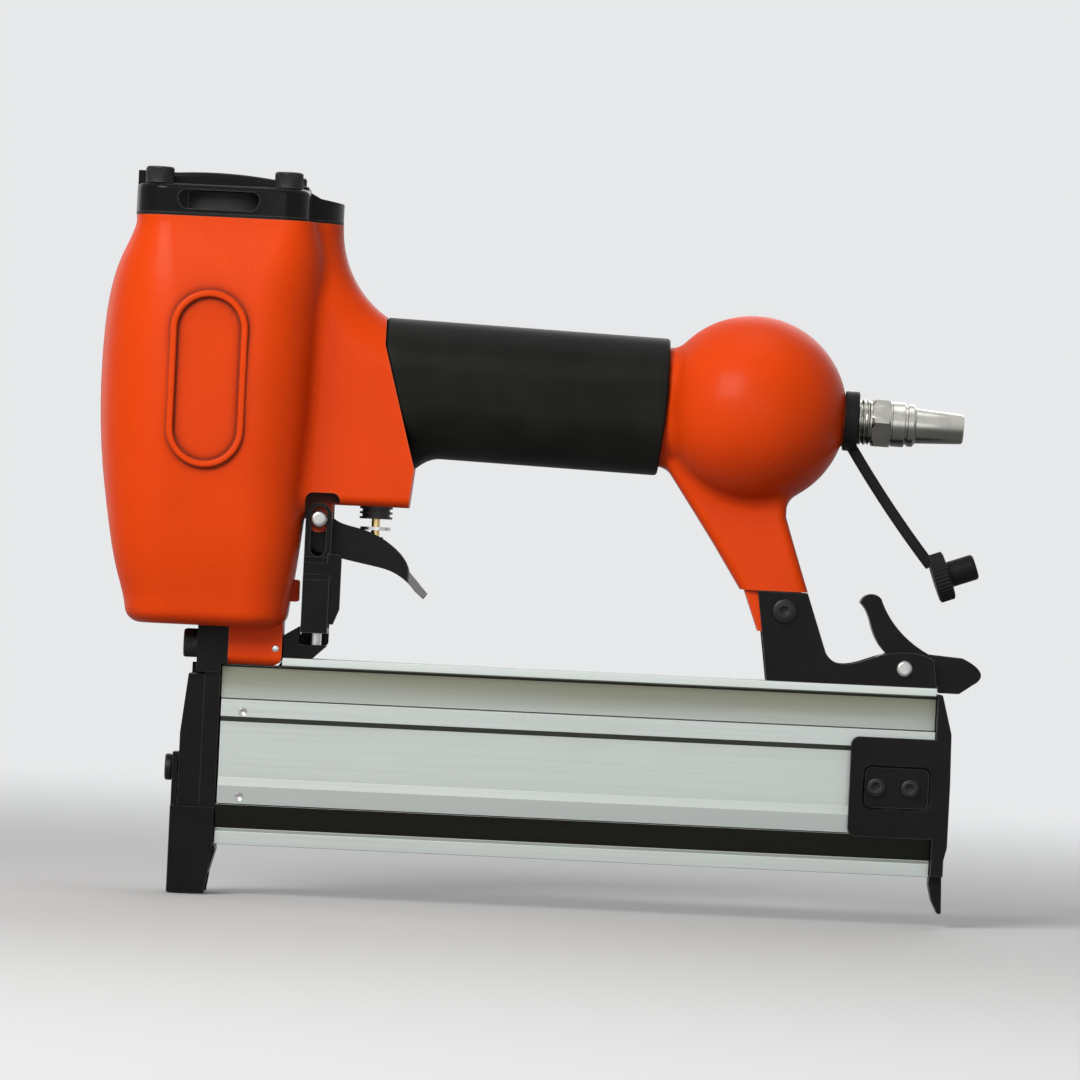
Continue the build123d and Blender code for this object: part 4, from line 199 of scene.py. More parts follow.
class Finish:
    """A material or world being made: the one method that adds nodes, and the tone so far."""

    flat_match, edge_match = 0.995, 0.93
    speck_core = 0.4

    def __init__(self, owner, tone=None, constants=None):
        owner.use_nodes = True
        self.owner = owner
        self.tone = tone
        self.tree = owner.node_tree
        self.shader = self.tree.nodes.get("Principled BSDF")
        for name, value in (constants or {}).items():
            self.feed(self.shader.inputs[name], value)

    def feed(self, socket, value):
        """Link a socket to another, or set its own value."""
        if isinstance(value, Socket):
            self.tree.links.new(value.source, socket)
        elif socket.type == "RGBA" and len(value) == 3:
            socket.default_value = (*value, 1)
        else:
            socket.default_value = value

    def node(self, kind, settings=None, inputs=None, output=0):
        """Add a node: its settings first, then its sockets. One of its outputs comes back."""
        made = self.tree.nodes.new("ShaderNode" + kind)
        for name, value in (settings or {}).items():
            setattr(made, name, value)
        for name, value in (inputs or {}).items():
            self.feed(made.inputs[name], value)
        return Socket(self, made.outputs[output])

    def set(self, **values):
        """Feed the shader's sockets, named in lower case."""
        for name, value in values.items():
            self.feed(self.shader.inputs[name.replace("_", " ").title()], value)

    def done(self, **values):
        """Feed the shader the tone and other values, and give the material back."""
        self.set(base_color=self.tone, **values)
        return self.owner

    def place(self, stretch=(1, 1, 1)):
        """Position on the piece, stretched along its axes."""
        here = self.node("TexCoord", output="Object")
        return self.node("VectorMath", {"operation": "MULTIPLY"}, {0: here, 1: stretch})

    def along(self, axis):
        """Position on the piece along one axis."""
        return self.node("SeparateXYZ", None, {0: self.place()}, axis)

    def noise(self, grain, stretch=(1, 1, 1), detail=2.0, rough=0.5):
        """Soft noise whose grains are about that long."""
        inputs = {"Scale": 1 / grain, "Detail": detail, "Roughness": rough}
        return self.node("TexNoise", None, {"Vector": self.place(stretch), **inputs})

    def specks(self, spacing, size):
        """Mask of small round specks, one in each cell of that spacing at most."""
        inputs = {"Vector": self.place(), "Scale": 1 / spacing}
        distance = self.node("TexVoronoi", None, inputs, "Distance")
        return self.band(distance, size / spacing, self.speck_core * size / spacing)

    def band(self, value, low, high):
        """0 below low, 1 above high and smooth between."""
        inputs = {"Value": value, "From Min": low, "From Max": high}
        return self.node("MapRange", {"interpolation_type": "SMOOTHSTEP"}, inputs)

    def blend(self, share, first, second):
        """One colour going over into another."""
        return self.node("Mix", {"data_type": "RGBA"}, {0: share, 6: first, 7: second}, 2)

    def layer(self, share, over):
        """Lay a share of another colour over the tone."""
        self.tone = self.blend(share, self.tone, over)

    def clouded(self, cloud, dark, light, low=0.35, high=0.70):
        """Make a plain tone darker and lighter in soft clouds."""
        share = self.band(cloud, low, high)
        self.tone = self.blend(share, tinted(self.tone, dark), tinted(self.tone, light))

    def edges(self, radius):
        """Mask of the piece's edges, out to that radius."""
        rounded = self.node("Bevel", {"samples": 4}, {"Radius": radius})
        plain = self.node("NewGeometry", output="Normal")
        normals = {0: rounded, 1: plain}
        match = self.node("VectorMath", {"operation": "DOT_PRODUCT"}, normals, "Value")
        return self.band(match, self.flat_match, self.edge_match)

    def worn_and_lit_edges(self, radius, patches, least, low, high):
        """Mask of edges in patches, for rubbed edges and for painted edge highlights."""
        return self.band(self.edges(radius) * (least + patches), low, high)

    def hollows(self, reach):
        """Mask of the piece's hollows: 1 deep in a groove, 0 on open faces."""
        settings = {"samples": 6, "only_local": True}
        open_share = self.node("AmbientOcclusion", settings, {"Distance": reach}, "AO")
        return 1 - open_share

    def tilted(self, start, end):
        """Mask of the faces that lean past a slant: 1 looks straight up and -1 straight down."""
        plain = self.node("NewGeometry", output="Normal")
        height = self.node("SeparateXYZ", None, {0: plain}, "Z")
        return self.band(height, start, end)

    def relief(self, height, distance):
        """Feed a height to the normal."""
        inputs = {"Height": height, "Distance": distance, "Strength": 1.0}
        self.set(normal=self.node("Bump", None, inputs))


def tinted(base, share):
    """A colour made lighter or darker."""
    return tuple(min(1.0, channel * share) for channel in base)


def finish_of(name, base, constants):
    """Start a material's finish."""
    return Finish(bpy.data.materials.new(name), base, constants)


# Colours of dirt and wear, and of painted shade, reflections and highlights
# Shares of the paint's channels for its painted shade
PAINTED_SHADE_SHARE = (0.36, 0.22, 0.20)
# Painted shade deep in the trigger pocket
POCKET_SHADE = (0.025, 0.004, 0.003)
RUBBED_PAINT = (0.42, 0.16, 0.08)
DARK_SPECK = (0.05, 0.015, 0.008)
# Pale specks: partly small scratches, partly painted glints
PALE_SPECK_AND_GLINT = (0.90, 0.42, 0.22)
DUST = (0.20, 0.19, 0.17)
# Grey of rubbed bare steel, and of painted glints on the enamel's edges
WORN_GREY_AND_GLINT = (0.22, 0.22, 0.22)
RUBBED_COATING = (0.09, 0.09, 0.09)
# Grey of the edges on black steel: partly wear, partly painted highlight
WORN_STEEL_AND_HIGHLIGHT = (0.20, 0.19, 0.18)
WORN_OXIDE = (0.24, 0.23, 0.22)
# Olive of the painted reflection on the neck
NECK_REFLECTION = (0.19, 0.195, 0.145)
CUT_EDGE = (0.78, 0.79, 0.80)
HANDLING_MARK = (0.36, 0.36, 0.35)
# Painted shade in the extrusion's grooves
HOLLOW_SHADE = (0.12, 0.12, 0.09)
# Painted shade on faces that look down
UNDERSIDE_SHADE = (0.060, 0.060, 0.050)
# Streaked near black of the painted shade and reflection on the lower slope
SKIRT_SHADE_DARK, SKIRT_SHADE_LIGHT = (0.008, 0.008, 0.005), (0.020, 0.019, 0.014)

# Levels on the tool that the finishes follow
POCKET_LOW, POCKET_HIGH = 98 * MM, 106 * MM
FLANGE_LINE = 69.0 * MM
NECK_LOW, NECK_HIGH = 58.9 * MM, 68.6 * MM
# Levels of the painted reflection on the neck, and how far its edge wavers
NECK_REFLECTION_LOW, NECK_REFLECTION_HIGH = 56.9 * MM, 71.6 * MM
NECK_REFLECTION_WAVER = 5 * MM
SKIRT_LOW, SKIRT_HIGH = 33.9 * MM, 43.9 * MM
RIB_TOP = 32.8 * MM

# Near face of the lower rib, along Y, and how wide a border between two tones is
RIB_FACE = -11.6 * MM
SEAM = 0.3 * MM


# Finishes

def paint_finish(name, base):
    """Satin paint over a cast skin: soft mottle, fine peel, rubbed edges, a few specks, painted
    shade and painted highlights.
    """
    made = finish_of(name, base, {"Coat Roughness": 0.22, "Specular IOR Level": 0.09})
    mottle = made.noise(34 * MM, detail=3)
    skin = made.noise(1.6 * MM, detail=3, rough=0.6)
    grain = made.noise(0.5 * MM, detail=1)
    edges = made.edges(0.7 * MM)
    rubbed = made.band(edges * skin, 0.30, 0.52)
    shade = tuple(channel * share for channel, share in zip(base, PAINTED_SHADE_SHARE))
    enclosed = made.hollows(16 * MM) * made.band(made.along("Z"), POCKET_LOW, POCKET_HIGH)
    made.clouded(mottle, 0.95, 1.03, 0.32, 0.68)
    # Painted shade: the paint darker in the creases of the upper casting, in small grooves and on
    # faces that lean down
    made.layer(made.band(enclosed, 0.02, 0.34) * 0.80, shade)
    made.layer(made.hollows(2.5 * MM) * 0.60, shade)
    made.layer(made.tilted(-0.15, -0.85) * 0.45, shade)
    # Painted shade: near black deep in the trigger pocket
    made.layer(made.band(enclosed, 0.22, 0.44) * 0.95, POCKET_SHADE)
    # Painted highlight: the paint lighter along its edges
    made.layer(edges * 0.35, tinted(base, 1.25))
    made.layer(rubbed * 0.55, RUBBED_PAINT)
    made.layer(made.specks(19 * MM, 0.35 * MM) * 0.75, DARK_SPECK)
    # Pale specks: partly small scratches, partly painted glints
    made.layer(made.specks(13 * MM, 0.22 * MM) * 0.55, PALE_SPECK_AND_GLINT)
    made.relief(skin * 0.75 + grain * 0.25, 0.10 * MM)
    return made.done(
        roughness=0.38 + skin * 0.10 + mottle * 0.06, coat_weight=0.06 - rubbed * 0.05
    )


def rubber_finish(name, base):
    """Matte moulded rubber: fine grain, faint flow streaks, a little dust and painted highlights
    along the edges.
    """
    made = finish_of(name, base, {"Specular IOR Level": 0.09})
    streaks = made.noise(1.6 * MM, stretch=(0.12, 1, 1), detail=3)
    grain = made.noise(0.28 * MM)
    cloud = made.noise(14 * MM, detail=3)
    made.clouded(cloud, 0.85, 1.35)
    # Painted highlight: the rubber lighter along its edges
    made.layer(made.edges(0.6 * MM) * 0.5, tinted(base, 2.4))
    made.layer(made.specks(9 * MM, 0.22 * MM) * 0.8, DUST)
    made.relief(grain * 0.6 + streaks * 0.4, 0.05 * MM)
    return made.done(roughness=0.40 + grain * 0.10 + cloud * 0.08)


def enamel_finish(name, base):
    """Gloss enamel over a cast skin, with a slight orange peel and painted highlights along its
    edges.
    """
    gloss = {"Coat Weight": 0.13, "Coat Roughness": 0.05, "Specular IOR Level": 0.06}
    made = finish_of(name, base, gloss)
    peel = made.noise(2.2 * MM)
    grit = made.noise(0.6 * MM, detail=1)
    # Painted highlight: lighter grey in patches along the edges, for glints on the rims
    made.layer(made.worn_and_lit_edges(0.40 * MM, peel, 0.45, 0.40, 0.85) * 0.45, WORN_GREY_AND_GLINT)
    made.relief(peel * 0.7 + grit * 0.3, 0.07 * MM)
    return made.done(roughness=0.20 + peel * 0.10 + grit * 0.05)


def coating_finish(name, base, wear_and_highlight=0.22):
    """Satin black coating on steel, grey along its edges: partly rubbed bare, partly painted
    highlight.
    """
    made = finish_of(name, base, {"Specular IOR Level": 0.11})
    grain = made.noise(0.45 * MM)
    cloud = made.noise(9 * MM, detail=3)
    rubs = made.noise(2.4 * MM, stretch=(0.3, 1, 1), detail=4, rough=0.7)
    worn_and_lit_edges = made.worn_and_lit_edges(0.35 * MM, cloud, 0.35, 0.42, 0.80)
    made.clouded(cloud, 0.8, 1.4)
    made.layer(made.band(rubs, 0.70, 0.80) * 0.35, RUBBED_COATING)
    # Grey edges: partly wear, partly painted highlight
    made.layer(worn_and_lit_edges * wear_and_highlight, WORN_STEEL_AND_HIGHLIGHT)
    made.relief(grain, 0.035 * MM)
    return made.done(metallic=worn_and_lit_edges * 0.3, roughness=0.27 + grain * 0.12)


def worn_finish(name, base, start, end):
    """Satin black coating rubbed bare between two places along X."""
    made = finish_of(name, base, {"Specular IOR Level": 0.13})
    grain = made.noise(0.45 * MM)
    streaks = made.noise(1.5 * MM, stretch=(0.3, 1, 1), detail=3)
    bare = made.band(made.along("X") + streaks * (0.5 * MM), start, end)
    worn_and_lit_edges = made.worn_and_lit_edges(0.35 * MM, streaks, 0.35, 0.42, 0.80)
    # Grey edges: partly wear, partly painted highlight
    made.layer(worn_and_lit_edges * 0.22, WORN_STEEL_AND_HIGHLIGHT)
    made.layer(bare * 0.7, WORN_GREY_AND_GLINT)
    made.relief(grain, 0.035 * MM)
    return made.done(metallic=bare * 0.6 + worn_and_lit_edges * 0.2, roughness=0.28 + grain * 0.12)


def oxide_finish(name, base):
    """Black oxide on a turned screw."""
    made = finish_of(name, base, {"Specular IOR Level": 0.25})
    cloud = made.noise(3 * MM)
    made.layer(made.worn_and_lit_edges(0.2 * MM, cloud, 0.4, 0.45, 0.85) * 0.6, WORN_OXIDE)
    made.relief(made.noise(0.3 * MM), 0.02 * MM)
    return made.done(roughness=0.34 + cloud * 0.14)


def extrusion_finish(name, base):
    """Anodised extrusion: die lines along it, handling marks and cut edges, with painted shade,
    reflections and highlights.
    """
    made = finish_of(name, base, {"Metallic": 1.0})
    lines = made.noise(0.7 * MM, stretch=(0.010, 1, 1), detail=3, rough=0.65)
    fine = made.noise(0.22 * MM, stretch=(0.02, 1, 1), detail=1)
    streaks = made.noise(4 * MM, stretch=(0.04, 0.2, 1))
    cloud = made.noise(30 * MM, stretch=(0.5, 1, 1), detail=3)
    marks = made.noise(1.8 * MM, stretch=(0.15, 1, 1), detail=4, rough=0.75)
    level = made.along("Z")
    above = made.band(level, NECK_LOW, NECK_LOW + SEAM)
    neck = above * made.band(level, NECK_HIGH, NECK_HIGH - SEAM)
    reflection_share = made.band(level + streaks * NECK_REFLECTION_WAVER, NECK_REFLECTION_LOW, NECK_REFLECTION_HIGH)
    flange = made.band(level, NECK_HIGH, NECK_HIGH + SEAM)
    near_rib = made.band(made.along("Y"), RIB_FACE + 2 * SEAM, RIB_FACE)
    low_rib = made.band(level, RIB_TOP + SEAM, RIB_TOP) * near_rib
    upward = made.tilted(0.15, 0.40)
    below_flange = made.band(level, FLANGE_LINE + SEAM / 2, FLANGE_LINE)
    downward = made.tilted(-0.15, -0.50) * below_flange
    skirt = downward * made.band(level, SKIRT_HIGH, SKIRT_LOW)
    made.clouded(lines, 0.955, 1.03, low=0.30)
    made.layer(made.band(cloud, 0.40, 0.75) * 0.5, tinted(base, 0.90))
    # Painted shade and reflection: the neck darker, going over into olive in wavering bands
    made.layer(neck, made.blend(reflection_share, tinted(base, 0.86), NECK_REFLECTION))
    # Painted highlight: the flange lighter
    made.layer(flange, tinted(base, 1.15))
    made.layer(low_rib, tinted(base, 0.79))
    # Painted highlight: faces that look up lighter
    made.layer(upward * 0.8, tinted(base, 1.13))
    made.layer(made.edges(0.25 * MM) * 0.6, CUT_EDGE)
    made.layer(made.band(marks, 0.68, 0.76) * 0.30, HANDLING_MARK)
    # Painted shade: darker in grooves and hollows
    made.layer(made.hollows(6 * MM) * 0.8, HOLLOW_SHADE)
    # Painted shade: darker on faces that look down, below the flange
    made.layer(downward * 0.9, UNDERSIDE_SHADE)
    # Painted shade and reflection: the lower down-facing slope near black, in streaks
    made.layer(skirt * 0.97, made.blend(streaks, SKIRT_SHADE_DARK, SKIRT_SHADE_LIGHT))
    made.relief(lines * 0.7 + fine * 0.3, 0.016 * MM)
    return made.done(roughness=0.34 + lines * 0.12 + cloud * 0.08 + upward * 0.26)


def metal_finish(name, base, rough, stretch=(1, 1, 1), underside_shade=0.0):
    """Bare or plated metal with fine tool marks, and painted shade on faces that lean down where
    asked.
    """
    made = finish_of(name, base, {"Metallic": 1.0})
    marks = made.noise(0.35 * MM, stretch=stretch, detail=3, rough=0.6)
    cloud = made.noise(5 * MM)
    made.clouded(cloud, 0.86, 1.05)
    if underside_shade:
        # Painted shade: darker on faces that lean down
        made.layer(made.tilted(0.35, -0.30) * underside_shade, tinted(base, 0.16))
    made.relief(marks, 0.015 * MM)
    return made.done(roughness=rough * 0.75 + marks * (rough * 0.3) + cloud * (rough * 0.3))


def moulded_finish(name, base, rough, pore=0.4 * MM, depth=0.03 * MM):
    """Plain moulded plastic or rubber with a fine surface grain."""
    made = finish_of(name, base, {"Specular IOR Level": 0.45})
    grain = made.noise(pore)
    made.clouded(made.noise(6 * MM), 0.85, 1.20)
    made.relief(grain, depth)
    return made.done(roughness=rough + grain * 0.12)


# How tool marks are stretched: drawn along X or Z, or turned about them
ALONG_X, ALONG_Z = (0.03, 1, 1), (1, 1, 0.03)
ABOUT_X, ABOUT_Z = (0.9, 0.06, 0.06), (0.06, 0.06, 1)
finishes = {}


def finish_for(slot):
    """The material of one of the record's slots, made once."""
    has = bpy.context.scene.nailer_colours
    makers = {
        "casting_paint": (paint_finish, "orange_paint", has.paint),
        "grip_rubber": (rubber_finish, "charcoal_rubber", has.rubber),
        "cap_enamel": (enamel_finish, "black_enamel", has.enamel),
        "black_steel": (coating_finish, "black_coating", has.coating),
        "black_screws": (oxide_finish, "black_oxide", has.oxide),
        "magazine_aluminium": (extrusion_finish, "anodised_extrusion", has.extrusion),
        "machined_aluminium": (metal_finish, "turned_aluminium", has.machined, 0.30, ALONG_Z),
        "bright_steel": (metal_finish, "ground_steel", has.steel, 0.28, ALONG_X),
        "spring_steel": (metal_finish, "drawn_wire", has.wire, 0.30),
        "pin_chrome": (metal_finish, "pin_plating", has.chrome, 0.32),
        # The plug's last value is its share of painted shade on faces that lean down
        "plug_nickel": (metal_finish, "plug_plating", has.nickel, 0.24, ABOUT_X, 0.85),
        "stem_brass": (metal_finish, "turned_brass", has.brass, 0.24, ABOUT_Z),
        "valve_plastic": (moulded_finish, "black_acetal", has.acetal, 0.36),
        "muffler_plastic": (
            moulded_finish, "sintered_ring", has.sinter, 0.75, 0.7 * MM, 0.2 * MM
        ),
        "seal_rubber": (rubber_finish, "black_nitrile", has.nitrile),
        "bumper_rubber": (moulded_finish, "amber_urethane", has.urethane, 0.35),
    }
    if slot not in finishes:
        maker, *values = makers[slot]
        finishes[slot] = maker(*values)
    return finishes[slot]


# Pieces

MERGE_REACH = 0.001 * MM
WELD_REACH = 0.002 * MM
FLAT_ANGLE = math.radians(0.4)
SHARP_ANGLE = math.radians(32)
PIN_STEPS = 32


def slot_of(node):
    """The record's slot that a CAD node was packed with."""
    return frame["nodes"][node].data.materials[0].name


def body_of(node):
    """The body that a CAD node rides on."""
    return frame["nodes"][node]["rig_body"]


def dress(*nodes, edge=0.0, steps=2, finish=None):
    """Give CAD nodes their slot's finish, or their own, and, where asked, broken edges."""
    for node in nodes:
        shown = frame["nodes"][node]
        shown.material_slots[0].material = finish or finish_for(slot_of(node))
        if edge:
            soften(shown, edge, steps)


def soften(shown, width, steps):
    """Join a node's facets, merge its flat ones and break its sharp edges."""
    weld = shown.modifiers.new("weld", "WELD")
    weld.merge_threshold = WELD_REACH
    flat = shown.modifiers.new("flat", "DECIMATE")
    flat.decimate_type = "DISSOLVE"
    flat.angle_limit = FLAT_ANGLE
    bevel = shown.modifiers.new("edge", "BEVEL")
    bevel.width = width
    bevel.segments = steps
    bevel.limit_method = "ANGLE"
    bevel.angle_limit = SHARP_ANGLE
    bevel.miter_outer = "MITER_ARC"
    shown.modifiers.new("shading", "WEIGHTED_NORMAL")


def add_piece(name, mesh, body, slot, *stands_for):
    """Show a new mesh, ride it on its body and let it stand for CAD nodes."""
    work = bpy.data.meshes.new(name)
    bmesh.ops.recalc_face_normals(mesh, faces=mesh.faces)
    mesh.to_mesh(work)
    mesh.free()
    work.shade_smooth()
    work.materials.append(finish_for(slot))
    piece = bpy.data.objects.new(name, work)
    bpy.context.scene.collection.objects.link(piece)
    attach(piece, body)
    if stands_for:
        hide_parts(*stands_for)
    return piece


def stand_in(name, mesh, node):
    """Show a new mesh in a CAD node's stead, on its body and with its slot."""
    return add_piece(name, mesh, body_of(node), slot_of(node), node)


def sharpen(piece, degrees):
    """Keep edges sharper than that angle crisp."""
    piece.data.set_sharp_from_angle(angle=math.radians(degrees))


def axes_along(direction, start):
    """Turn that takes +Z to a direction and +X as near as can be to the start direction."""
    up = Vector(direction).normalized()
    side = Vector(start)
    side = (side - up * side.dot(up)).normalized()
    return Matrix((side, up.cross(side), up)).transposed()


def join_rings(mesh, rings):
    """Faces from each ring of corners to the next."""
    for low, high in zip(rings, rings[1:]):
        for step in range(len(low)):
            after = (step + 1) % len(low)
            mesh.faces.new((low[step], low[after], high[after], high[step]))


def cap_ends(mesh, rings):
    """Close a form at both ends."""
    mesh.faces.new(rings[0])
    mesh.faces.new(rings[-1])


def lathe(mesh, place, direction, start, profile, steps, hollow=False):
    """Turn a profile of (height, radius) pairs about an axis; a radius may follow the angle.

    A hollow form's profile is a loop. Any other form is closed at both ends.
    """
    turn = axes_along(direction, start)
    rings = []
    for height, radius in profile:
        ring = []
        for step in range(steps):
            angle = TURN * step / steps
            reach = radius(angle) if callable(radius) else radius
            local = Vector((reach * math.cos(angle), reach * math.sin(angle), height))
            ring.append(mesh.verts.new(Vector(place) + turn @ local))
        rings.append(ring)
    join_rings(mesh, rings)
    if hollow:
        join_rings(mesh, (rings[-1], rings[0]))
    else:
        cap_ends(mesh, rings)


def hexagon(flats):
    """Radius of a hexagon by angle."""
    sector = TURN / 6
    return lambda angle: flats / 2 / math.cos((angle + sector / 2) % sector - sector / 2)


def sweep(mesh, points, section, across):
    """Carry a section of (side, up) pairs along points; across is the steady side direction."""
    rings = []
    for index, point in enumerate(points):
        before = points[max(index - 1, 0)]
        after = points[min(index + 1, len(points) - 1)]
        tangent = (after - before).normalized()
        side = (across - tangent * across.dot(tangent)).normalized()
        up = tangent.cross(side)
        rings.append([mesh.verts.new(point + side * s + up * u) for s, u in section])
    join_rings(mesh, rings)
    cap_ends(mesh, rings)


def round_section(radius, sides):
    """A round wire's section."""
    angles = [TURN * step / sides for step in range(sides)]
    return [(radius * math.cos(angle), radius * math.sin(angle)) for angle in angles]


def boxed_section(half_width, half_height, corner, corner_steps):
    """A rectangle with rounded corners, as (side, up) pairs."""
    points = []
    for quarter in range(4):
        side = half_width - corner if quarter in (0, 3) else corner - half_width
        up = half_height - corner if quarter in (0, 1) else corner - half_height
        for step in range(corner_steps + 1):
            angle = TURN / 4 * (quarter + step / corner_steps)
            points.append((side + corner * math.cos(angle), up + corner * math.sin(angle)))
    return points


def solids_of(node):
    """Low and high corner of each separate solid in a CAD node, in a steady order."""
    work = bmesh.new()
    work.from_mesh(frame["nodes"][node].data)
    bmesh.ops.remove_doubles(work, verts=work.verts, dist=MERGE_REACH)
    waiting, boxes = set(work.verts), []
    while waiting:
        stack = [waiting.pop()]
        group = []
        while stack:
            vert = stack.pop()
            group.append(vert.co.copy())
            for edge in vert.link_edges:
                other = edge.other_vert(vert)
                if other in waiting:
                    waiting.discard(other)
                    stack.append(other)
        low = Vector(min(point[axis] for point in group) for axis in range(3))
        high = Vector(max(point[axis] for point in group) for axis in range(3))
        boxes.append((low, high))
    work.free()
    return sorted(boxes, key=lambda box: tuple(box[0]))


def circle_through(first, second, third):
    """Middle and radius of the circle through three points of a plane."""
    a, b = second - first, third - first
    twice_area = 2 * (a.x * b.y - a.y * b.x)
    x = (b.y * a.length_squared - a.y * b.length_squared) / twice_area
    y = (a.x * b.length_squared - b.x * a.length_squared) / twice_area
    return first + Vector((x, y)), math.hypot(x, y)


def clamped(value, high=1):
    """A value held between 0 and high."""
    return min(max(value, 0), high)


def handle_axis():
    """The middle of the dust cap's ring, and the handle's direction to the rear."""
    joint = next(joint for joint in frame["joints"] if joint["name"] == "dust_cap_swivel")
    return Vector(joint["pos_m"]), Vector(joint["axis"])


class NAILER_OT_casting(Operator):
    """Paint the casting and set the pin in its boss"""

    bl_idname = "nailer.casting"
    bl_label = "Casting"

    pin_place = (21.5 * MM, -10.3 * MM, 74.4 * MM)
    pin_radius = 1.2 * MM
    pin_depth = 3.0 * MM
    # Height and radius of the pin's dome, as shares of its radius
    pin_dome = ((0, 1), (0.25, 0.93), (0.45, 0.70), (0.55, 0.35))

    def execute(self, context):
        dress("body_casting")
        radius = self.pin_radius
        form = [(-self.pin_depth, radius)]
        form += [(height * radius, share * radius) for height, share in self.pin_dome]
        work = bmesh.new()
        lathe(work, self.pin_place, (0, -1, 0), (0, 0, 1), form, PIN_STEPS)
        add_piece("boss_pin", work, body_of("body_casting"), "bright_steel")
        return {"FINISHED"}


class NAILER_OT_cap(Operator):
    """Enamel the cylinder cap and finish its gasket and muffler"""

    bl_idname = "nailer.cap"
    bl_label = "Cylinder cap"

    def execute(self, context):
        dress("cylinder_cap", edge=context.scene.nailer_sizes.edge)
        dress("cap_gasket", "exhaust_muffler")
        return {"FINISHED"}


class NAILER_OT_sheet(Operator):
    """Coat the black steel pieces and break their edges"""

    bl_idname = "nailer.sheet"
    bl_label = "Black steel"

    plain = ("driver_guide", "guide_cover", "contact_foot", "safety_link", "safety_base")
    # Pieces whose edges go lighter grey: partly wear, partly painted highlight
    worn_and_edge_lit = ("safety_yoke", "rear_bracket", "tail_plate")
    edge_wear_and_highlight = 0.50
    latch_steps = 4
    bare_start, bare_end = 6.2 * MM, 5.2 * MM

    def execute(self, context):
        sizes = context.scene.nailer_sizes
        coating = context.scene.nailer_colours.coating
        dress(*self.plain, edge=sizes.edge)
        # Lighter grey edges for these pieces and the latch: partly wear, partly painted highlight
        rubbed = coating_finish("worn_and_edge_lit_coating", coating, self.edge_wear_and_highlight)
        dress(*self.worn_and_edge_lit, edge=sizes.edge, finish=rubbed)
        dress("latch", edge=sizes.latch_edge, steps=self.latch_steps, finish=rubbed)
        dress("trip_lever", edge=sizes.fine_edge)
        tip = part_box("trigger")[1].x
        bare = worn_finish("trigger_coating", coating, tip - self.bare_start, tip - self.bare_end)
        dress("trigger", edge=sizes.edge, finish=bare)
        return {"FINISHED"}


class NAILER_OT_magazine(Operator):
    """Finish the magazine's rail and cover, the cover's stop pins and the pusher inside"""

    bl_idname = "nailer.magazine"
    bl_label = "Magazine"

    stop_x = 12.7 * MM
    stop_levels = (54.9 * MM, 29.4 * MM)
    stop_radius = 1.25 * MM
    stop_rim = 0.15 * MM
    stop_depth = 0.85 * MM
    stop_sink = 0.10 * MM
    dish_depth = 0.42 * MM
    dish_steps = 8

    def execute(self, context):
        dress("fixed_magazine", "magazine_cover", edge=context.scene.nailer_sizes.fine_edge)
        dress("pusher", "pusher_rod")
        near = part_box("magazine_cover")[0].y
        dish = self.stop_radius - self.stop_rim
        form = [(-self.stop_depth, self.stop_radius), (-self.stop_sink, self.stop_radius)]
        for step in range(self.dish_steps):
            share = 1 - step / self.dish_steps
            form.append((-self.stop_sink - self.dish_depth * (1 - share**2), dish * share))
        work = bmesh.new()
        for level in self.stop_levels:
            lathe(work, (self.stop_x, near, level), (0, -1, 0), (0, 0, 1), form, PIN_STEPS)
        add_piece("cover_stop_pins", work, body_of("magazine_cover"), "bright_steel")
        return {"FINISHED"}


class NAILER_OT_pins(Operator):
    """Finish the pins, their clip, the guide post and the nut"""

    bl_idname = "nailer.pins"
    bl_label = "Pins"

    def execute(self, context):
        dress("trigger_pin", "trigger_pin_clip", "latch_pin", "safety_post", "bracket_nut")
        return {"FINISHED"}


class NAILER_OT_works(Operator):
    """Finish the working parts inside the casting"""

    bl_idname = "nailer.works"
    bl_label = "Inner works"

    def execute(self, context):
        dress("cylinder_sleeve", "cylinder_o_ring", "bumper", "piston", "piston_o_ring")
        dress("driver_blade", "driver_pin", "head_valve", "head_valve_o_ring")
        dress("trigger_valve_body", "valve_o_rings", "valve_stem", "stem_o_ring", "stem_clip")
        return {"FINISHED"}


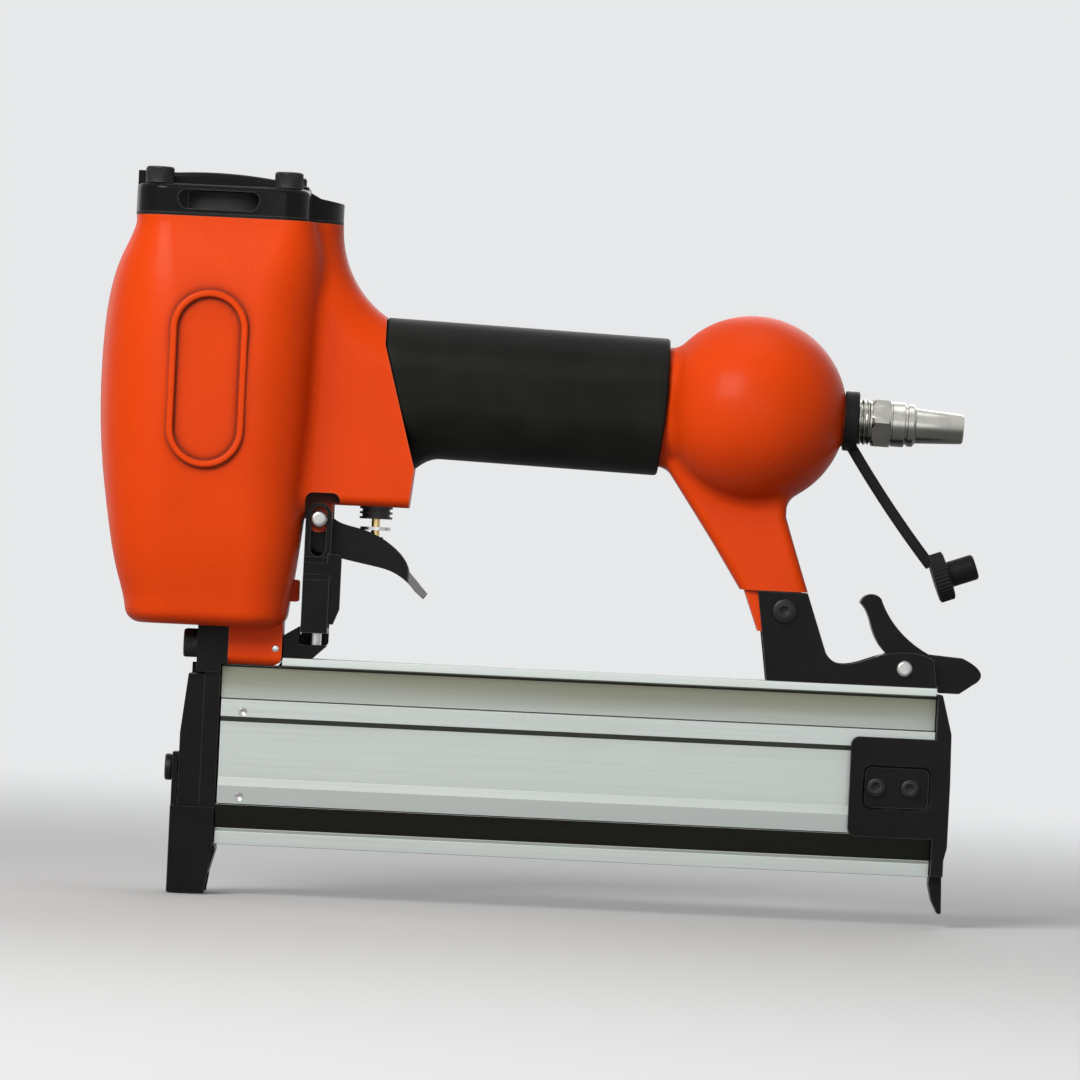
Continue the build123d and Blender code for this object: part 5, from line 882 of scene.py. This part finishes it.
class NAILER_OT_springs(Operator):
    """Coil the springs, each along the axis of the joint that works it"""

    bl_idname = "nailer.springs"
    bl_label = "Springs"

    # Radius of the wire and number of open turns
    wires = {
        "head_valve_spring": (0.80 * MM, 4),
        "safety_spring": (0.35 * MM, 5),
        "valve_spring": (0.25 * MM, 6),
        "latch_spring": (0.30 * MM, 3),
        "pusher_spring": (0.35 * MM, 34),
    }
    turn_steps = 24
    wire_sides = 8
    end_turns = 0.5
    end_rise = 0.2

    def execute(self, context):
        for node, (wire, turns) in self.wires.items():
            self.coil(node, wire, turns)
        return {"FINISHED"}

    def coil(self, node, wire, turns):
        """Wind one spring from end to end of its solid, with flat end turns."""
        joint, soft = self.worked_by(node)
        letter = soft["mode"][-1]
        along = "xyz".index(letter)
        axis = Vector(float(index == along) for index in range(3))
        low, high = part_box(node)
        span = high[along] - low[along]
        reach = (high - low)[(along + 1) % 3] / 2 - wire
        middle = (low + high) / 2
        middle[along] = low[along]
        turn = axes_along(axis, Vector((axis.y, axis.z, axis.x)))
        whole = turns + 2 * self.end_turns
        slope = (span - 2 * wire) / (turns + 2 * self.end_turns * self.end_rise)
        points = []
        for step in range(round(whole * self.turn_steps) + 1):
            wound = step / self.turn_steps
            steep = clamped(wound - self.end_turns, turns)
            height = wire + slope * (steep + self.end_rise * (wound - steep))
            angle = TURN * wound
            local = Vector((reach * math.cos(angle), reach * math.sin(angle), height))
            points.append(middle + turn @ local)
        work = bmesh.new()
        sweep(work, points, round_section(wire, self.wire_sides), axis)
        piece = stand_in(node + "_coil", work, node)
        anchor = middle.copy()
        anchor[along] = soft[f"fixed_end_{letter}_m"]
        1 - self.give(node, joint) / span
        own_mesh(piece)

    def worked_by(self, node):
        """The joint that works a spring, and what the joint says of it."""
        for joint in frame["joints"]:
            for soft in joint.get("deforming_nodes", ()):
                if soft["node"] == node:
                    return joint, soft
        raise LookupError(f"no joint works {node}")

    def give(self, node, joint):
        """How far the joint shortens a spring at its limit."""
        if "range_m" in joint:
            return joint["range_m"][1]
        low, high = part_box(node)
        angle = math.radians(joint["range_deg"][1])
        arm, rise = joint["pos_m"][0] - low.x, high.z - joint["pos_m"][2]
        return arm * math.sin(angle) + rise * (1 - math.cos(angle))


class NAILER_OT_screws(Operator):
    """Build the socket screws with their keys; the tall heads are knurled"""

    bl_idname = "nailer.screws"
    bl_label = "Socket screws"

    # Outward direction, head height, shank radius, key width and whether the head is knurled
    kinds = {
        "cap_screws": ((0, 0, 1), 5.0 * MM, 2.5 * MM, 4.0 * MM, True),
        "nose_screws": ((-1, 0, 0), 4.2 * MM, 2.5 * MM, 4.0 * MM, True),
        "foot_screw": ((-1, 0, 0), 2.1 * MM, 1.9 * MM, 2.5 * MM, False),
        "tail_screws": ((0, -1, 0), 1.9 * MM, 1.5 * MM, 2.5 * MM, False),
        "bracket_screw": ((0, -1, 0), 2.3 * MM, 2.0 * MM, 2.5 * MM, False),
        "bracket_magazine_screws": ((0, 0, 1), 1.6 * MM, 1.4 * MM, 2.0 * MM, False),
    }
    hidden = ("guide_cover_screws", "magazine_screws")
    crisp_angle = 38
    foot_bevel = 0.25 * MM
    knurl_start = 0.45 * MM
    skin = 0.02 * MM
    # Shares of the head's height, of its bevel, of the key's width and of the shank's radius
    knurled_bevel, plain_bevel, key_depth, point_depth = 0.12, 0.28, 0.55, 0.10
    side_end, rim_drop, rim_inset = 1.2, 0.35, 0.30
    key_mouth, point_radius = 0.60, 0.2
    stem_chamfer = 0.2
    key_rim = 0.10 * MM
    key_chamfer = 0.30 * MM
    stem_overlap = 0.1 * MM
    plain_steps = 72
    knurl_steps = 4
    stem_steps = 24

    def execute(self, context):
        sizes = context.scene.nailer_sizes
        for node, kind in self.kinds.items():
            work = bmesh.new()
            for low, high in solids_of(node):
                self.screw(work, sizes, low, high, *kind)
            sharpen(stand_in(node + "_turned", work, node), self.crisp_angle)
        dress(*self.hidden)
        return {"FINISHED"}

    def screw(self, work, sizes, low, high, outward, head, shank, key, knurled):
        """Turn one screw's head and stem inside its solid's box."""
        direction = Vector(outward)
        along = max(range(3), key=lambda axis: abs(direction[axis]))
        radius = (high - low)[(along + 1) % 3] / 2
        seat = (low + high) / 2
        top = high[along] if direction[along] > 0 else low[along]
        seat[along] = top - direction[along] * head
        depth = (high - low)[along] - head
        bevel = (self.knurled_bevel if knurled else self.plain_bevel) * head
        steps = sizes.knurls * self.knurl_steps if knurled else self.plain_steps
        half_knurl = sizes.knurl_depth / 2
        side = radius
        if knurled:
            side = lambda angle: radius - half_knurl * (1 - math.cos(sizes.knurls * angle))
        floor = head * (1 - self.key_depth)
        form = [
            (0, shank),
            (0, radius - self.foot_bevel),
            (self.foot_bevel, radius - self.skin),
            (self.knurl_start, side),
            (head - self.side_end * bevel, side),
            (head - bevel, radius - self.skin),
            (head - self.rim_drop * bevel, radius - self.rim_inset * bevel),
            (head, radius - bevel),
            (head, self.key_mouth * key + self.key_rim),
            (head - self.key_chamfer, hexagon(key)),
            (floor, hexagon(key)),
            (floor - self.point_depth * head, self.point_radius * key),
        ]
        chamfer = self.stem_chamfer * shank
        stem = [(-depth, shank - chamfer), (chamfer - depth, shank), (self.stem_overlap, shank)]
        start = (0, 0, 1) if along != 2 else (1, 0, 0)
        lathe(work, seat, direction, start, form, steps)
        lathe(work, seat, direction, start, stem, self.stem_steps)


class NAILER_OT_grip(Operator):
    """Mould the rubber grip with its slanted ends, rolled lips and toe"""

    bl_idname = "nailer.grip"
    bl_label = "Grip"

    wall = 2.3 * MM
    corner = 16.0 * MM
    knee_drop = 8.5 * MM
    front_slant = 10.3 * MM
    rear_slant = 2.5 * MM
    toe_reach = 7.5 * MM
    toe_drop = 3.6 * MM
    toe_half = 12.0 * MM
    toe_blend = 3.0 * MM
    corner_steps = 14
    length_steps = 48
    lip_steps = 5

    def execute(self, context):
        self.low, self.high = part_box("grip_sleeve")
        work = bmesh.new()
        stations = self.stations(context.scene.nailer_sizes.grip_lip)
        rings = [self.ring(work, *station) for station in stations]
        join_rings(work, [*rings, rings[0]])
        stand_in("grip_moulding", work, "grip_sleeve")
        return {"FINISHED"}

    def stations(self, lip):
        """Share of the length, run in from that end and inset of each ring, round the shell."""
        arcs = [TURN / 4 * step / self.lip_steps for step in range(self.lip_steps + 1)]
        front = [(0, lip * (1 - math.cos(arc)), lip * (1 - math.sin(arc))) for arc in arcs]
        rear = [(1, -run, inset) for _, run, inset in reversed(front)]
        body = [(step / self.length_steps, 0, 0) for step in range(2, self.length_steps - 1)]
        return [(0, 0, self.wall), *front, *body, *rear, (1, 0, self.wall)]

    def ring(self, work, share, run, inset):
        """One ring of corners round the handle."""
        middle, direction = handle_axis()
        low, high = self.low, self.high
        half_width = (high.y - low.y) / 2 - inset
        half_height = self.half_height(middle, direction)
        corner = self.corner - inset
        verts = []
        for side, up in boxed_section(half_width, half_height - inset, corner, self.corner_steps):
            level = middle.z + direction.z * (low.x + share * (high.x - low.x) - middle.x) + up
            front, rear = self.front(level), self.rear(level)
            x = front + share * (rear - front) + run
            z = middle.z + direction.z / direction.x * (x - middle.x) + up
            if up < 0 and inset < self.wall:
                z -= self.toe(x, side) * min(1, -2 * up / half_height)
            verts.append(work.verts.new((x, side, z)))
        return verts

    def half_height(self, middle, direction):
        """Half the grip's height, from its top edge at the front."""
        axis_z = middle.z + direction.z / direction.x * (self.low.x - middle.x)
        return self.high.z - axis_z

    def front(self, level):
        """Where the front end stands at a level: upright above the knee and slanted below it."""
        knee = self.high.z - self.knee_drop
        return self.low.x + self.front_slant * clamped((knee - level) / (knee - self.low.z))

    def rear(self, level):
        """Where the rear end stands at a level: upright above the axis and slanted below it."""
        middle = (self.high.z + self.low.z) / 2
        return self.high.x - self.rear_slant * clamped((middle - level) / (middle - self.low.z))

    def toe(self, x, side):
        """How far the toe reaches down under the front."""
        share = clamped(1 - (x - self.low.x - self.front_slant) / self.toe_reach)
        edge = clamped((self.toe_half - abs(side)) / self.toe_blend)
        return self.toe_drop * share * share * edge * edge * (3 - 2 * edge)


class NAILER_OT_plug(Operator):
    """Turn the air plug: thread, hexagon, shoulder, ring and tapered nose"""

    bl_idname = "nailer.plug"
    bl_label = "Air plug"

    steps = 96
    crisp_angle = 32
    pitch_steps = 8
    bore = 2.6 * MM
    inner_end = -13.8 * MM
    inner_radius = 6.5 * MM
    collar_start = -1.6 * MM
    collar_radius = 6.9 * MM
    collar_end = 4.7 * MM
    relief_radius = 6.2 * MM
    hex_start = 5.4 * MM
    hex_end = 11.2 * MM
    hex_flats = 14.0 * MM
    # Run in from the hexagon's ends and radius there of its turned corners
    hex_corners = ((0, 6.9 * MM), (0.15 * MM, 7.1 * MM), (0.75 * MM, 8.2 * MM))
    shoulder_end = 15.5 * MM
    shoulder_radius = 6.7 * MM
    groove_radius = 5.9 * MM
    ring_start = 16.2 * MM
    ring_end = 18.1 * MM
    ring_radius = 6.4 * MM
    cone_start = 18.8 * MM
    cone_radius = 5.3 * MM
    tip_radius = 4.5 * MM
    tip_end = 33.2 * MM
    tip_round = 0.7 * MM
    mouth = 0.4 * MM
    # Chamfers and small steps
    fine, small, medium, wide = 0.15 * MM, 0.2 * MM, 0.3 * MM, 0.5 * MM

    def execute(self, context):
        middle, direction = handle_axis()
        form = [
            (self.inner_end, self.bore),
            (self.inner_end, self.inner_radius - self.wide),
            (self.inner_end + self.wide, self.inner_radius),
            (self.collar_start, self.inner_radius),
            *self.thread(context.scene.nailer_sizes),
            (self.hex_start - self.wide, self.relief_radius),
            (self.hex_start, self.relief_radius),
            *self.hexagon_form(),
            (self.hex_end, self.shoulder_radius - self.fine),
            (self.hex_end + self.medium, self.shoulder_radius - self.fine),
            (self.hex_end + self.wide, self.shoulder_radius),
            (self.shoulder_end - self.medium, self.shoulder_radius),
            (self.shoulder_end, self.shoulder_radius - self.medium),
            (self.shoulder_end, self.groove_radius),
            (self.ring_start, self.groove_radius),
            (self.ring_start, self.ring_radius - self.small),
            (self.ring_start + self.small, self.ring_radius),
            (self.ring_end - self.small, self.ring_radius),
            (self.ring_end, self.ring_radius - self.fine),
            (self.cone_start, self.cone_radius),
            (self.tip_end - self.tip_round, self.tip_radius),
            (self.tip_end - self.small, self.tip_radius - self.medium),
            (self.tip_end, self.tip_radius - self.tip_round),
            (self.tip_end, self.bore + self.mouth),
            (self.tip_end - self.mouth, self.bore),
        ]
        work = bmesh.new()
        lathe(work, middle, direction, (0, 0, 1), form, self.steps, hollow=True)
        sharpen(stand_in("air_plug_turned", work, "air_plug"), self.crisp_angle)
        return {"FINISHED"}

    def thread(self, sizes):
        """Rings of a helical thread along the collar."""
        rise = sizes.thread_pitch / self.pitch_steps
        for step in range(int((self.collar_end - self.collar_start) / rise) + 1):
            along = self.collar_start + step * rise
            yield along, lambda angle, along=along: self.collar_radius - sizes.thread_depth * (
                0.5 - 0.5 * math.cos(TURN * along / sizes.thread_pitch - angle)
            )

    def hexagon_form(self):
        """The hexagon with its corners turned off at both ends."""
        plain = hexagon(self.hex_flats)
        rings = [(self.hex_start + run, limit) for run, limit in self.hex_corners]
        rings += [(self.hex_end - run, limit) for run, limit in reversed(self.hex_corners)]
        for along, limit in rings:
            yield along, lambda angle, limit=limit: min(plain(angle), limit)


class NAILER_OT_dust_cap(Operator):
    """Mould the dust cap: its ring, strap, ribbed disc and stem in one skin"""

    bl_idname = "nailer.dust_cap"
    bl_label = "Dust cap"

    voxel = 0.2 * MM
    smoothing = 0.5
    smoothing_rounds = 4
    ring_inner = 7.2 * MM
    ring_outer = 9.0 * MM
    ring_half = 1.4 * MM
    ring_corner = 0.4 * MM
    ring_steps = 72
    ring_overlap = 0.8
    collar_inner = 7.95 * MM
    collar_reach = 2.9 * MM
    strap_sink = 0.9 * MM
    strap_middle = (204.2 * MM, 125.0 * MM)
    strap_low = (217.2 * MM, 108.4 * MM)
    strap_half_width = 2.5 * MM
    strap_half = 1.6 * MM
    strap_corner = 0.6 * MM
    strap_steps = 32
    corner_steps = 4
    disc_middle = (220.6 * MM, 105.2 * MM)
    disc_tilt = math.radians(20)
    disc_radius = 7.1 * MM
    disc_half = 2.5 * MM
    disc_edge = 0.4 * MM
    rib_radius = 0.38 * MM
    rib_steps = 8
    bevel = 0.6 * MM
    stem_radius = 3.9 * MM
    stem_end = 10.9 * MM
    stem_steps = 64
    cup_radius = 2.5 * MM
    cup_depth = 4.0 * MM
    cup_taper = 0.3 * MM

    def execute(self, context):
        middle, direction = handle_axis()
        work = bmesh.new()
        self.ring(work, middle, direction)
        self.strap(work, middle)
        self.bung(work, context.scene.nailer_sizes.bung_ribs)
        piece = stand_in("dust_cap_moulding", work, "dust_cap")
        skin = piece.modifiers.new("skin", "REMESH")
        skin.mode = "VOXEL"
        skin.voxel_size = self.voxel
        skin.use_smooth_shade = True
        smooth = piece.modifiers.new("smooth", "SMOOTH")
        smooth.factor = self.smoothing
        smooth.iterations = self.smoothing_rounds
        return {"FINISHED"}

    def ring(self, work, middle, direction):
        """The ring, with the collar that reaches back round the inlet boss."""
        collar_half = (self.collar_reach - self.ring_overlap * self.ring_half) / 2
        collar_middle = middle - direction * (self.collar_reach - collar_half)
        self.band(work, middle, direction, self.ring_inner, self.ring_half)
        self.band(work, collar_middle, direction, self.collar_inner, collar_half)

    def band(self, work, middle, direction, inner, half_width):
        """A band of the ring's outer size with rounded edges."""
        half, radius = (self.ring_outer - inner) / 2, (self.ring_outer + inner) / 2
        section = boxed_section(half_width, half, self.ring_corner, self.corner_steps)
        form = [(side, radius + up) for side, up in section]
        lathe(work, middle, direction, (0, 0, 1), form, self.ring_steps, hollow=True)

    def strap(self, work, middle):
        """The strap follows the circle through its top, middle and low points."""
        top = Vector((middle.x, middle.z - self.ring_outer + self.strap_sink))
        low = Vector(self.strap_low)
        centre, radius = circle_through(top, Vector(self.strap_middle), low)
        first, last = (math.atan2(*(end - centre).yx) for end in (top, low))
        swing = (last - first + math.pi) % TURN - math.pi
        points = []
        for step in range(self.strap_steps + 1):
            angle = first + swing * step / self.strap_steps
            x, z = centre.x + radius * math.cos(angle), centre.y + radius * math.sin(angle)
            points.append(Vector((x, 0, z)))
        section = boxed_section(
            self.strap_half_width, self.strap_half, self.strap_corner, self.corner_steps
        )
        sweep(work, points, section, Vector((0, 1, 0)))

    def bung(self, work, ribs):
        """The ribbed disc, and the hollow stem that closes the plug."""
        place = Vector((self.disc_middle[0], 0, self.disc_middle[1]))
        direction = Vector((math.cos(self.disc_tilt), 0, math.sin(self.disc_tilt)))
        across = Vector((0, 1, 0))
        edge = lambda angle: self.disc_radius + self.rib(angle, ribs)
        disc = [
            (-self.disc_half, self.disc_radius - self.bevel),
            (self.disc_edge - self.disc_half, edge),
            (self.disc_half - self.disc_edge, edge),
            (self.disc_half, self.disc_radius - self.bevel),
        ]
        stem = [
            (0, self.stem_radius),
            (self.stem_end - self.bevel, self.stem_radius),
            (self.stem_end, self.stem_radius - self.bevel),
            (self.stem_end, self.cup_radius),
            (self.stem_end - self.cup_depth, self.cup_radius - self.cup_taper),
        ]
        lathe(work, place, direction, across, disc, ribs * self.rib_steps)
        lathe(work, place, direction, across, stem, self.stem_steps)

    def rib(self, angle, ribs):
        """How far a round rib stands out from the disc at an angle."""
        sector = TURN / ribs
        off = ((angle + sector / 2) % sector - sector / 2) * self.disc_radius
        return math.sqrt(max(self.rib_radius**2 - off * off, 0))


class NAILER_OT_stage(Operator):
    """Lay the pale floor and set the lights, the backdrop and the camera"""

    bl_idname = "nailer.stage"
    bl_label = "Stage"

    # Name, place, width, power and tone of the soft lights
    lights = (
        ("key", (-0.59, -1.30, 0.96), 0.8, 23, (1.0, 0.975, 0.93)),
        ("fill", (0.40, -1.70, 0.24), 0.9, 3.2, (0.96, 0.98, 1.0)),
        ("top", (0.15, 0.05, 1.45), 0.8, 2.5, (1, 1, 1)),
        ("rim", (0.45, 1.35, 0.80), 0.9, 4.5, (1, 1, 1)),
        ("low_back", (-0.9, 1.0, 0.35), 0.7, 2.0, (1, 1, 1)),
    )
    ambient = 0.10
    floor_reach = 6.0
    floor_drop = 0.3 * MM
    floor_sides = 96
    floor_shade = 0.45
    glow_start, glow_end = 0.25, 1.3
    sensor_width = 36
    sight = 50

    def execute(self, context):
        stage = context.scene.nailer_stage
        self.lay_floor(stage)
        self.set_world(context.scene, stage)
        for light in self.lights:
            self.set_light(stage.aim, *light)
        self.set_camera(context.scene, stage)
        context.scene.view_settings.view_transform = "Standard"
        return {"FINISHED"}

    def seen_rays(self, made):
        """1 for rays that show the backdrop: from the camera, in gloss and through glass."""
        kinds = ("Is Camera Ray", "Is Glossy Ray", "Is Transmission Ray")
        camera, glossy, clear = (made.node("LightPath", output=kind) for kind in kinds)
        settings = {"operation": "ADD", "use_clamp": True}
        return made.node("Math", settings, {0: camera + glossy, 1: clear})

    def lay_floor(self, stage):
        """A pale disc that keeps the shadow and goes over into the backdrop."""
        work = bmesh.new()
        bmesh.ops.create_circle(
            work, cap_ends=True, segments=self.floor_sides, radius=self.floor_reach
        )
        bmesh.ops.translate(work, verts=work.verts, vec=(stage.aim[0], 0, -self.floor_drop))
        sheet = bpy.data.meshes.new("floor")
        work.to_mesh(sheet)
        work.free()
        floor = bpy.data.objects.new("floor", sheet)
        bpy.context.scene.collection.objects.link(floor)
        constants = {"Roughness": 0.75, "Specular IOR Level": 0.2}
        made = finish_of("pale_floor", tinted(stage.floor, self.floor_shade), constants)
        seen = self.seen_rays(made)
        made.layer(seen, stage.floor)
        made.set(base_color=made.tone)
        here = made.node("TexCoord", output="Object")
        middle = {0: here, 1: (-stage.aim[0], 0, 0)}
        offset = made.node("VectorMath", {"operation": "ADD"}, middle)
        away = made.node("VectorMath", {"operation": "LENGTH"}, {0: offset}, "Value")
        share = made.band(away, self.glow_start, self.glow_end) * seen
        glow = made.node("Emission", None, {"Color": stage.backdrop, "Strength": 1.0})
        shader = Socket(made, made.shader.outputs[0])
        mixed = made.node("MixShader", None, {0: share, 1: shader, 2: glow})
        made.feed(made.tree.nodes["Material Output"].inputs["Surface"], mixed)
        sheet.materials.append(made.owner)

    def set_world(self, scene, stage):
        """A pale backdrop with a little light from all round."""
        scene.world = bpy.data.worlds.new("studio")
        made = Finish(scene.world)
        shown = made.node("Background", None, {"Color": stage.backdrop, "Strength": 1.0})
        around = made.node("Background", None, {"Color": (1, 1, 1), "Strength": self.ambient})
        mixed = made.node("MixShader", None, {0: self.seen_rays(made), 1: around, 2: shown})
        made.feed(made.tree.nodes["World Output"].inputs["Surface"], mixed)

    def set_light(self, aim, name, place, width, power, tone):
        """A square soft light at a place, turned to its aim."""
        lamp = bpy.data.lights.new(name, "AREA")
        lamp.shape = "SQUARE"
        lamp.size = width
        lamp.energy = power
        lamp.color = tone
        light = bpy.data.objects.new(name, lamp)
        light.location = place
        light.rotation_euler = (Vector(aim) - Vector(place)).to_track_quat("-Z", "Y").to_euler()
        bpy.context.scene.collection.objects.link(light)

    def set_camera(self, scene, stage):
        """A long lens square on to the near side, rolled as far as the tool dips."""
        lens = bpy.data.cameras.new("camera")
        lens.sensor_width = self.sensor_width
        lens.lens = lens.sensor_width * stage.camera_distance / stage.frame_width
        lens.clip_end = self.sight
        camera = bpy.data.objects.new("camera", lens)
        right = Vector((math.cos(stage.roll), 0, math.sin(stage.roll)))
        back = Vector((0, -1, 0))
        turn = Matrix((right, back.cross(right), back)).transposed()
        place = Vector(stage.aim) + back * stage.camera_distance
        camera.matrix_world = Matrix.Translation(place) @ turn.to_4x4()
        scene.collection.objects.link(camera)
        scene.camera = camera


class NAILER_PT_panel(Panel):
    """Lists the nailer's pieces"""

    bl_idname = "NAILER_PT_panel"
    bl_label = "Brad nailer"
    bl_space_type = "VIEW_3D"
    bl_region_type = "UI"
    bl_category = "Nailer"

    def draw(self, context):
        for operator in OPERATORS:
            self.layout.operator(operator.bl_idname)


GROUPS = (
    ("nailer_colours", NailerColours),
    ("nailer_sizes", NailerSizes),
    ("nailer_stage", NailerStage),
)
OPERATORS = (
    NAILER_OT_stage,
    NAILER_OT_casting,
    NAILER_OT_cap,
    NAILER_OT_grip,
    NAILER_OT_sheet,
    NAILER_OT_magazine,
    NAILER_OT_pins,
    NAILER_OT_screws,
    NAILER_OT_plug,
    NAILER_OT_dust_cap,
    NAILER_OT_works,
    NAILER_OT_springs,
)
CLASSES = (*(group for _, group in GROUPS), *OPERATORS, NAILER_PT_panel)


def register():
    for kind in CLASSES:
        bpy.utils.register_class(kind)
    for name, group in GROUPS:
        setattr(bpy.types.Scene, name, PointerProperty(type=group))


def unregister():
    for name, _ in GROUPS:
        delattr(bpy.types.Scene, name)
    for kind in reversed(CLASSES):
        bpy.utils.unregister_class(kind)


def main():
    register()
    for operator in OPERATORS:
        group, name = operator.bl_idname.split(".")
        getattr(getattr(bpy.ops, group), name)()


if __name__ == "__main__":
    main()
